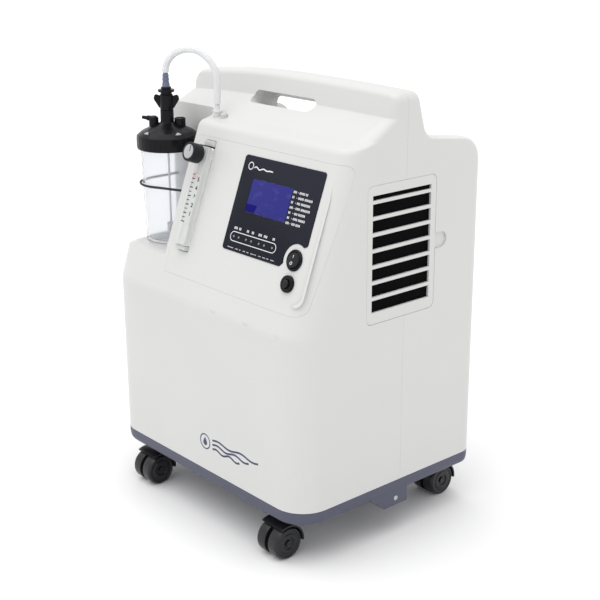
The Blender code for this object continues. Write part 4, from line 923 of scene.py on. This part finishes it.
def make_jar():
    """Clear jar with a rounded foot and a wider neck for the lid."""
    wall = rounded([(0.0, 0.3435, 0), (0.0304, 0.3435, 0.0030), (0.0334, 0.4580, 0.002), (0.0345, 0.4610, 0.002),
                    (0.0345, 0.4760, 0), (0.0365, 0.4760, 0.0004), (0.0365, 0.4610, 0.002),
                    (0.0355, 0.4580, 0.002), (0.0324, 0.3404, 0.0040), (0.0, 0.3404, 0)], 6, closed=False)
    finished(turned("jar_wall", wall, STAND, 96), JAR, "jar", "jar_clear", "humidifier_jar")


def make_lid():
    """Black lid: rolled rim, cone, hub, relief valve with its cap, and the outlet port."""
    profile = rounded([
        (0.0034, 0.5088, 0), (0.0085, 0.5088, 0.0006), (0.0085, 0.4935, 0.0012), (0.0130, 0.4915, 0.003),
        (0.0230, 0.4875, 0.010), (0.0330, 0.4828, 0.006), (0.0382, 0.4786, 0.0012), (0.0398, 0.4770, 0.0010),
        (0.0398, 0.4612, 0.0008), (0.0388, 0.4600, 0.0004), (0.0380, 0.4612, 0), (0.0380, 0.4770, 0),
        (0.0330, 0.4790, 0), (0.0085, 0.4870, 0), (0.0034, 0.4890, 0)], 5)
    lid = turned("lid_cap", profile, STAND, 96, closed=True)
    valve = move(BOTTLE[0] + 0.0107, BOTTLE[1] + 0.0123)
    port = (BOTTLE[0] - 0.0145, BOTTLE[1] - 0.0109)
    heading = math.degrees(math.atan2(-0.0109, -0.0145))
    spout = move(*port, 0.4968) @ turn(heading, "Z") @ turn(84, "Y")
    join(lid, turned("valve", rounded([(0.0, 0.4869, 0), (0.0071, 0.4869, 0), (0.0071, 0.4987, 0.0007),
                                       (0.0056, 0.4987, 0.0002), (0.0054, 0.4979, 0), (0.0, 0.4979, 0)],
                                      4, closed=False), valve, 48),
         turned("port", rounded([(0.0, 0.4862, 0), (0.0062, 0.4862, 0), (0.0062, 0.4985, 0.003),
                                 (0.0030, 0.5008, 0.002), (0.0, 0.5008, 0)], 5, closed=False), move(*port), 40),
         turned("spout", rounded([(0.0, 0.0, 0), (0.0036, 0.0, 0), (0.0033, 0.0082, 0.001), (0.0025, 0.0096, 0.0006),
                                  (0.0021, 0.0155, 0.0005), (0.0, 0.0155, 0)], 4, closed=False), spout, 28))
    finished(lid, BLACK, "bottle", "black_plastic", "humidifier_lid", crease=28)

    ribs = []
    for number in range(36):
        ribs.append(slab(f"rib_{number}", block_outline((-0.0007, 0.0007), (0.4625, 0.4755), 0.0004, 2),
                         0.0394, 0.04005,
                         STAND @ turn(10.0 * number, "Z") @ SIDE_PLANE, top=0.0003))
    grip = ribs[0]
    work = bmesh.new()
    for rib in ribs:
        work.from_mesh(rib.data)
    work.to_mesh(grip.data)
    work.free()
    for rib in ribs[1:]:
        bpy.data.objects.remove(rib, do_unlink=True)
    grip.name = "lid_grip_ribs"
    finished(grip, BLACK, "bottle", "black_plastic")

    for number, degrees in enumerate((-12.0, -86.0)):
        lug = slab(f"lid_lug_{number}", rounded([(-0.0045, -0.0016, 0.0004), (0.0045, -0.0016, 0.0004),
                                                 (0.0000, 0.0030, 0.0005)], 4), 0.0, 0.0011,
                   STAND @ turn(degrees, "Z") @ move(0.0335, 0.0, 0.4822) @ turn(30, "Y") @ turn(90, "Z"),
                   top=0.0003)
        finished(lug, CAP_SILVER, "bottle", "black_plastic")


def make_nut():
    """Wing nut over the lid's hub: a barrel, two swept wings and a top flange."""
    barrel = turned("wing_nut_barrel", rounded([
        (0.0053, 0.5381, 0), (0.0065, 0.5381, 0.0003), (0.0065, 0.5349, 0), (0.0105, 0.5349, 0.0005),
        (0.0105, 0.5318, 0.0005), (0.0072, 0.5318, 0), (0.0072, 0.5290, 0.0004), (0.0085, 0.5280, 0.0006),
        (0.0085, 0.5093, 0.0003), (0.0053, 0.5093, 0)], 4), STAND, 64, closed=True)
    wing = rounded([(-0.0150, 0.5290, 0.0026), (-0.0070, 0.5262, 0), (-0.0060, 0.5105, 0),
                    (-0.0095, 0.5113, 0.002), (-0.0168, 0.5225, 0.004)], 7)
    wings = [slab("wing", wing, -0.0019, 0.0019, STAND @ turn(40 + spin, "Z") @ FRONT_PLANE,
                  top=0.0009, bottom=0.0009)
             for spin in (0, 180)]
    join(barrel, *wings)
    finished(barrel, BLACK, "wing_nut", "black_plastic", "inlet_wing_nut")


def make_bottle_core():
    """Barbed adapter above the lid, and the dip tube with its slotted diffuser."""
    adapter = rounded([(0.0, 0.5096, 0), (0.0049, 0.5096, 0), (0.0049, 0.5408, 0.0004), (0.0038, 0.5461, 0),
                       (0.0047, 0.5464, 0.0003), (0.0036, 0.5511, 0), (0.0044, 0.5514, 0.0003),
                       (0.0030, 0.5556, 0.0003), (0.0, 0.5556, 0)], 4, closed=False)
    finished(turned("barbed_adapter", adapter, STAND, 40), ADAPTER, "bottle", "adapter_blue", "inlet_adapter")
    dip = rounded([(0.0, 0.3500, 0), (0.0052, 0.3500, 0.0005), (0.0052, 0.3612, 0.0006), (0.0013, 0.3624, 0.0004),
                   (0.0013, 0.5060, 0), (0.0, 0.5060, 0)], 4, closed=False)
    finished(turned("dip_tube", dip, STAND, 32), TUBE, "bottle", "jar_clear", "bubble_tube")


def make_strap():
    """The elastic cord round the jar, from the pocket's back wall to its right wall."""
    radius, level = 0.0373, 0.4155
    loop = arc(BOTTLE, radius, 180, 301, 60)
    start = [(BOTTLE[0] - radius - 0.001, POCKET_BACK - 0.0022), (BOTTLE[0] - radius, BOTTLE[1] + 0.020)]
    plan = np.vstack([start, loop, [(POCKET_RIGHT - 0.0020, BOTTLE[1] - 0.0192)]])
    path = np.column_stack([plan, np.full(len(plan), level)])
    cord = swept("bottle_cord", path, arc((0.0, 0.0), STRAP_RADIUS, 0, 360, 14)[:-1], (0.0, 0.0, 1.0))
    finished(cord, STRAP, "cabinet", "strap_rubber", "bottle_strap")


def smooth_route(points, steps):
    """Catmull-Rom curve: between b and c, half of 2b + (c-a)t + (2a-5b+4c-d)t2 + (3b-a-3c+d)t3."""
    route = np.vstack([2 * points[0] - points[1], points, 2 * points[-1] - points[-2]])
    a, b, c, d = (route[i:len(route) - 3 + i, None] for i in range(4))
    t = (np.arange(steps) / steps)[None, :, None]
    path = 0.5 * (2 * b + (c - a) * t + (2 * a - 5 * b + 4 * c - d) * t ** 2
                  + (3 * b - a - 3 * c + d) * t ** 3)
    return np.vstack([path.reshape(-1, 3), points[-1:]])


def make_tube():
    """The oxygen tube's short arch from the adapter to the outlet, and the outlet's fittings."""
    rise = np.array([(0.0, 0.5563), (0.004, 0.5600), (0.025, 0.5655), (0.085, 0.5728), (0.198, 0.5802),
                     (0.335, 0.5845), (0.496, 0.5861), (0.640, 0.5845), (0.762, 0.5799), (0.870, 0.5733),
                     (0.945, 0.5664), (0.987, 0.5603), (1.006, 0.5491), (1.006, 0.5377), (1.0, 0.5205)])
    start, end = np.array(BOTTLE), np.array(OUTLET)
    points = np.column_stack([start + rise[:, :1] * (end - start), rise[:, 1]])
    path = smooth_route(points, 6)
    across = np.array([-(end - start)[1], (end - start)[0], 0.0])
    outer = arc((0.0, 0.0), 0.00425, 0, 360, 28)[:-1]
    finished(swept("tube_arch", path, outer, across), TUBE, "bottle", "tube_clear", "oxygen_tube", crease=60)

    fitting = rounded([(0.0, 0.4900, 0), (0.0050, 0.4900, 0), (0.0050, 0.5105, 0), (0.0065, 0.5105, 0.0004),
                       (0.0065, 0.5127, 0.0005), (0.0033, 0.5131, 0.0004), (0.0026, 0.5200, 0.0004),
                       (0.0, 0.5200, 0)], 4, closed=False)
    nipple = turned("outlet_nipple", fitting, move(*OUTLET), 40)
    finished(nipple, TUBE, "cabinet", "clear_acrylic", "outlet_fitting")
    nub = turned("outlet_port_cap", rounded([(0.0, 0.5030, 0), (0.0046, 0.5030, 0), (0.0046, 0.5095, 0.0012),
                                             (0.0030, 0.5112, 0.0008), (0.0, 0.5112, 0)], 5, closed=False),
                 move(-0.0610, -0.0535), 32)
    finished(nub, SHADED_WHITE_GREY, "cabinet", "grey_base")


# ---------------------------------------------------------------- base, door and back
def screw_head(name, place, foot, edge, crown, cross, depth):
    """A crowned screw head with a cross recess of half length and half width, cut between two heights."""
    head = turned(name, rounded([(0.0, foot[1], 0), (*foot, 0), edge, (0.0, crown, 0)], 4, closed=False), place, 28)
    long, wide = cross
    low, high = depth
    carve(head, brick((-long, -wide, low), (long, wide, high), place),
          brick((-wide, -long, low), (wide, long, high), place))
    finished(head, ZINC, "cabinet", "zinc_steel")


def make_base():
    """Grey tray with a rounded lower edge, side skirts with a screw each, and caster sockets."""
    rings = []
    for z, inset in ((BASE_BOTTOM, 0.0040), (BASE_BOTTOM + 0.0004, 0.0026), (BASE_BOTTOM + 0.0022, 0.0012),
                     (0.0690, 0.0004), (0.0720, 0.0), (BASE_TOP, 0.0)):
        ring = plan_ring(-WIDTH / 2 + inset, WIDTH / 2 - inset, -DEPTH / 2 + inset, DEPTH / 2 - inset,
                         FRONT_RADIUS - inset, REAR_RADIUS - inset, 14, 2)
        rings.append(np.column_stack([ring, np.full(len(ring), z)]))
    hollow = []
    for z in (0.0677, 0.0900):
        ring = plan_ring(-WIDTH / 2 + 0.0035, WIDTH / 2 - 0.0035, -DEPTH / 2 + 0.0035, DEPTH / 2 - 0.0035,
                         FRONT_RADIUS - 0.0035, REAR_RADIUS - 0.0035, 14, 2)
        hollow.append(np.column_stack([ring, np.full(len(ring), z)]))
    tray = ringed("base_pan", rings)
    skirt = rounded([(-0.036, 0.0740, 0), (-0.036, 0.0655, 0.003), (-0.012, 0.0460, 0.006), (0.028, 0.0460, 0.003),
                     (0.028, 0.0740, 0)], 6)
    for centre in (WIDTH / 2 - 0.0017, -WIDTH / 2 + 0.0017):
        join(tray, slab("skirt", skirt, -0.0015, 0.0015, move(centre) @ SIDE_PLANE,
                        top=0.0004, bottom=0.0004))
    carve(tray, ringed("tray_hollow", hollow),
          *[drum(0.0056, 0.050, 0.090, move(x, y), 24) for x, y in CASTERS.values()])
    finished(tray, BASE_GREY, "cabinet", "grey_base", "base_tray")
    for side, sign in (("right", 1.0), ("left", -1.0)):
        place = move(sign * (WIDTH / 2 - 0.0002), 0.0080, 0.0555) @ turn(90 * sign, "Y")
        screw_head(f"skirt_screw_{side}", place, (0.0032, -0.0004), (0.0030, 0.0006, 0.0005), 0.0010,
                   (0.0020, 0.0004), (0.0004, 0.002))


def make_door():
    """Louvred intake door and the foam filter behind it."""
    outline = block_outline(DOOR_Y, DOOR_Z, DOOR_CORNER, 8)
    door = slab("door_panel", outline, -DOOR_THICK, 0.0, move(WIDTH / 2) @ SIDE_PLANE, top=0.0005)
    tops = [0.4466] + [0.4370 - 0.0190 * row for row in range(7)]
    heights = [0.0056] + [0.0148] * 7
    slots = [brick((WIDTH / 2 - 0.02, -0.0390, top - height), (WIDTH / 2 + 0.02, 0.0560, top))
             for top, height in zip(tops, heights)]
    carve(door, *slots)
    finished(door, WHITE, "intake_door", "white_shell", "filter_door")
    x = WIDTH / 2
    block = slab("filter_pad", block_outline((-0.0410, 0.0580), (0.3050, 0.4490), 0.004, 4), -0.0150, -0.0032,
                 move(x) @ SIDE_PLANE, top=0.001, bottom=0.001)
    finished(block, FOAM, "intake_door", "filter_foam", "cabinet_filter")


def make_back():
    """Appliance inlet with its pins, the rating plate's blank and the shell screws on the back."""
    x, y, z = INLET_X, DEPTH / 2, INLET_Z
    place = move(x, y, z) @ BACK_PLANE
    inlet = slab("inlet_body", block_outline((-0.0142, 0.0142), (-0.0122, 0.0122), 0.0015, 4),
                 -0.0300, -0.0008, place, top=0.0)
    join(inlet, slab("flange", block_outline((-0.0200, 0.0200), (-0.0150, 0.0150), 0.003, 6),
                     -0.0015, -0.0003, place, top=0.0005))
    mouth = rounded([(-0.0120, -0.0085, 0.001), (0.0120, -0.0085, 0.001), (0.0120, 0.0040, 0.001),
                     (0.0080, 0.0085, 0.001), (-0.0080, 0.0085, 0.001), (-0.0120, 0.0040, 0.001)], 4)
    carve(inlet, slab("socket", mouth, -0.0150, 0.0100, place, top=0.0))
    finished(inlet, BLACK, "cabinet", "black_plastic", "power_inlet")
    for number, (a, b) in enumerate(((-0.0070, -0.0020), (0.0070, -0.0020), (0.0, 0.0030))):
        blade = block_outline((a - 0.0010, a + 0.0010), (b - 0.0020, b + 0.0020), 0.0004, 3)
        pin = slab(f"inlet_pin_{number}", blade, -0.0149, -0.0030, place, top=0.0005)
        finished(pin, ZINC, "cabinet", "zinc_steel")
    plate = slab("rating_plate", block_outline((-0.045, 0.045), (-0.028, 0.028), 0.003, 6), 0.0, 0.0003,
                 move(0.060, y, 0.300) @ BACK_PLANE, top=0.0001)
    finished(plate, CAP_SILVER, "cabinet", "bed_aluminium")
    for number, (a, b) in enumerate(((-0.165, 0.110), (0.165, 0.110), (-0.165, 0.455), (0.165, 0.455))):
        where = move(a, y, b) @ BACK_PLANE
        screw_head(f"shell_screw_{number}", where, (0.0038, -0.0003), (0.0036, 0.0008, 0.0006), 0.0013,
                   (0.0024, 0.0005), (0.0006, 0.003))


# ---------------------------------------------------------------- casters
def make_caster(corner, x, y):
    """One twin-wheel caster: swivelling hood with its web and axle, and two treaded wheels."""
    swivel = move(x, y, AXLE_Z)
    outer, inner = WHEEL_RADIUS + 0.0035, WHEEL_RADIUS + 0.0012
    axle = (-CASTER_TRAIL, 0.0)
    half = WHEEL_WIDTH + WEB_THICK / 2 + 0.0006
    fender = np.vstack([arc(axle, outer, -6, 118, 30), arc(axle, inner, 118, -6, 30)])
    hood = slab(f"hood_{corner}", fender, -half, half, swivel @ SIDE_PLANE, top=0.0005, bottom=0.0005)
    web = np.vstack([arc(axle, outer - 0.0012, 0, 112, 26), arc(axle, 0.0080, 180, 310, 14)])
    join(hood, slab("web", web, -WEB_THICK / 2, WEB_THICK / 2, swivel @ SIDE_PLANE, top=0.0),
         turned("boss", rounded([(0.0, 0.0213, 0), (0.0100, 0.0213, 0), (0.0092, 0.0289, 0.001), (0.0, 0.0289, 0)], 4,
                                closed=False), swivel, 40),
         drum(0.0040, -half, half, swivel @ move(0.0, -CASTER_TRAIL) @ turn(90, "Y"), 28))
    finished(hood, CASTER_BLACK, f"caster_{corner}", "caster_black", f"caster_hood_{corner}")
    edge = WHEEL_WIDTH / 2
    tread = rounded([(0.0044, edge - 0.0016, 0), (0.0072, edge - 0.0016, 0.0004), (0.0080, edge, 0.0005),
                     (0.0120, edge, 0.0004), (0.0128, edge - 0.0010, 0.0004), (0.0160, edge - 0.0010, 0.0004),
                     (0.0168, edge, 0.0004), (0.0186, edge, 0.002), (WHEEL_RADIUS, edge - 0.0030, 0.0016),
                     (WHEEL_RADIUS, -edge, 0.0010), (0.0044, -edge, 0)], 5)
    for side, sign in (("left", -1), ("right", 1)):
        offset = sign * (WEB_THICK / 2 + 0.0004 + edge)
        place = swivel @ move(offset, -CASTER_TRAIL) @ turn(90 * sign, "Y")
        wheel = turned(f"wheel_{corner}_{side}_tyre", tread, place, 72, closed=True)
        finished(wheel, CASTER_BLACK, f"wheel_{corner}_{side}", "caster_black",
                 f"caster_wheel_{corner}_{side}")


# ---------------------------------------------------------------- the mark on the lower front
def make_front_mark():
    """A plain generic mark low on the front: a drop in a ring, and three tapering waves beside it."""
    x, z, out = 0.0100, 0.1190, 0.00006
    place = move(0.0, -DEPTH / 2, 0.0) @ FRONT_PLANE
    mark = carve(slab("front_mark", arc((x, z), 0.0105, 0, 360, 48)[:-1], -0.0002, out, place, top=0.0),
                 drum(0.0088, -0.01, 0.01, place @ move(x, z)))
    t = np.linspace(0.0, 1.0, 40)
    dash = [(-0.0013, -0.0002), (0.0013, -0.0002), (0.0013, out), (-0.0013, out)]
    for row in range(3):
        wave = np.stack([x + 0.0150 + (0.090 - 0.018 * row) * t, z + 0.0060 - 0.0060 * row + 0.0018 * np.sin(TAU * 2.0 * t),
                         np.zeros_like(t)], axis=1)
        join(mark, swept("wave", wave, dash, (0.0, 0.0, 1.0), place))
    drop = np.vstack([arc((x, z - 0.0014), 0.0040, -210, 30, 24), [(x, z + 0.0062)]])
    join(mark, slab("drop", drop, -0.0002, out, place, top=0.0))
    finished(mark, MARK_NAVY, "cabinet", "white_shell")


# ---------------------------------------------------------------- finishes for the works inside
def finish_cad_nodes():
    """Put a finish on each CAD node that stays as it is."""
    groups = {
        BASE_GREY: ["mid_deck"],
        BLACK: ["compressor_fan", "cooling_fan_frame", "cooling_fan_rotor", "intake_silencer"],
        ZINC: [f"caster_stem_{corner}" for corner in CASTERS],
        CAST: ["crankcase_left", "crankcase_right", "cylinder_head_left", "cylinder_head_right",
               "valve_manifold"],
        MOTOR: ["compressor_motor"],
        ISOLATOR: [f"isolator_{end}_{side}" for end in ("front", "rear") for side in ("left", "right")],
        BED: ["sieve_bed_1", "sieve_bed_2", "product_tank"],
        BOARD: ["control_board"],
        COPPER: ["heat_exchanger_coil"],
    }
    for finish, names in groups.items():
        for name in names:
            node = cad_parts[name]
            node.data.materials.clear()
            node.data.materials.append(finish.material)


make_shells()
make_label()
make_switch()
make_flowmeter()
make_ridge()
make_jar()
make_lid()
make_nut()
make_bottle_core()
make_strap()
make_tube()
make_base()
make_door()
make_back()
for corner, (stem_x, stem_y) in CASTERS.items():
    make_caster(corner, stem_x, stem_y)
make_front_mark()
finish_cad_nodes()

# ---------------------------------------------------------------- camera, floor and light
AZIMUTH = math.radians(49.05)
ELEVATION = math.radians(18.22)
ROLL = math.radians(-0.27)
forward = Vector((-math.sin(AZIMUTH) * math.cos(ELEVATION), math.cos(AZIMUTH) * math.cos(ELEVATION),
                  -math.sin(ELEVATION)))
level = Vector((math.cos(AZIMUTH), math.sin(AZIMUTH), 0.0))
above = level.cross(forward)
right = math.cos(ROLL) * level + math.sin(ROLL) * above
up = math.cos(ROLL) * above - math.sin(ROLL) * level
camera = bpy.data.objects.new("camera", bpy.data.cameras.new("camera"))
camera.data.lens = 72.46
camera.data.sensor_width = 36.0
camera.matrix_world = Matrix(((right.x, up.x, -forward.x, 1.1314), (right.y, up.y, -forward.y, -0.9649),
                              (right.z, up.z, -forward.z, 0.7510), (0.0, 0.0, 0.0, 1.0)))
bpy.context.scene.collection.objects.link(camera)
bpy.context.scene.camera = camera
bpy.context.scene.view_settings.view_transform = "Standard"

floor_mesh = bpy.data.meshes.new("studio_floor")
floor_mesh.from_pydata([(-6, -6, 0), (6, -6, 0), (6, 6, 0), (-6, 6, 0)], [], [(0, 1, 2, 3)])
floor = bpy.data.objects.new("studio_floor", floor_mesh)
bpy.context.scene.collection.objects.link(floor)
floor_finish = Finish("studio_floor", (0.82, 0.82, 0.82), 0.85, Specular_IOR_Level=0.0)
floor_mesh.materials.append(floor_finish.material)

world = bpy.data.worlds.new("studio")
world.use_nodes = True
world.node_tree.nodes["Background"].inputs["Color"].default_value = (1.0, 1.0, 1.0, 1.0)
world.node_tree.nodes["Background"].inputs["Strength"].default_value = 1.0
bpy.context.scene.world = world

sun = bpy.data.lights.new("overhead", "SUN")
sun.energy = 1.55
sun.angle = math.radians(70.0)
overhead = bpy.data.objects.new("overhead", sun)
overhead.rotation_euler = (math.radians(12.0), 0.0, math.radians(-15.0))
bpy.context.scene.collection.objects.link(overhead)
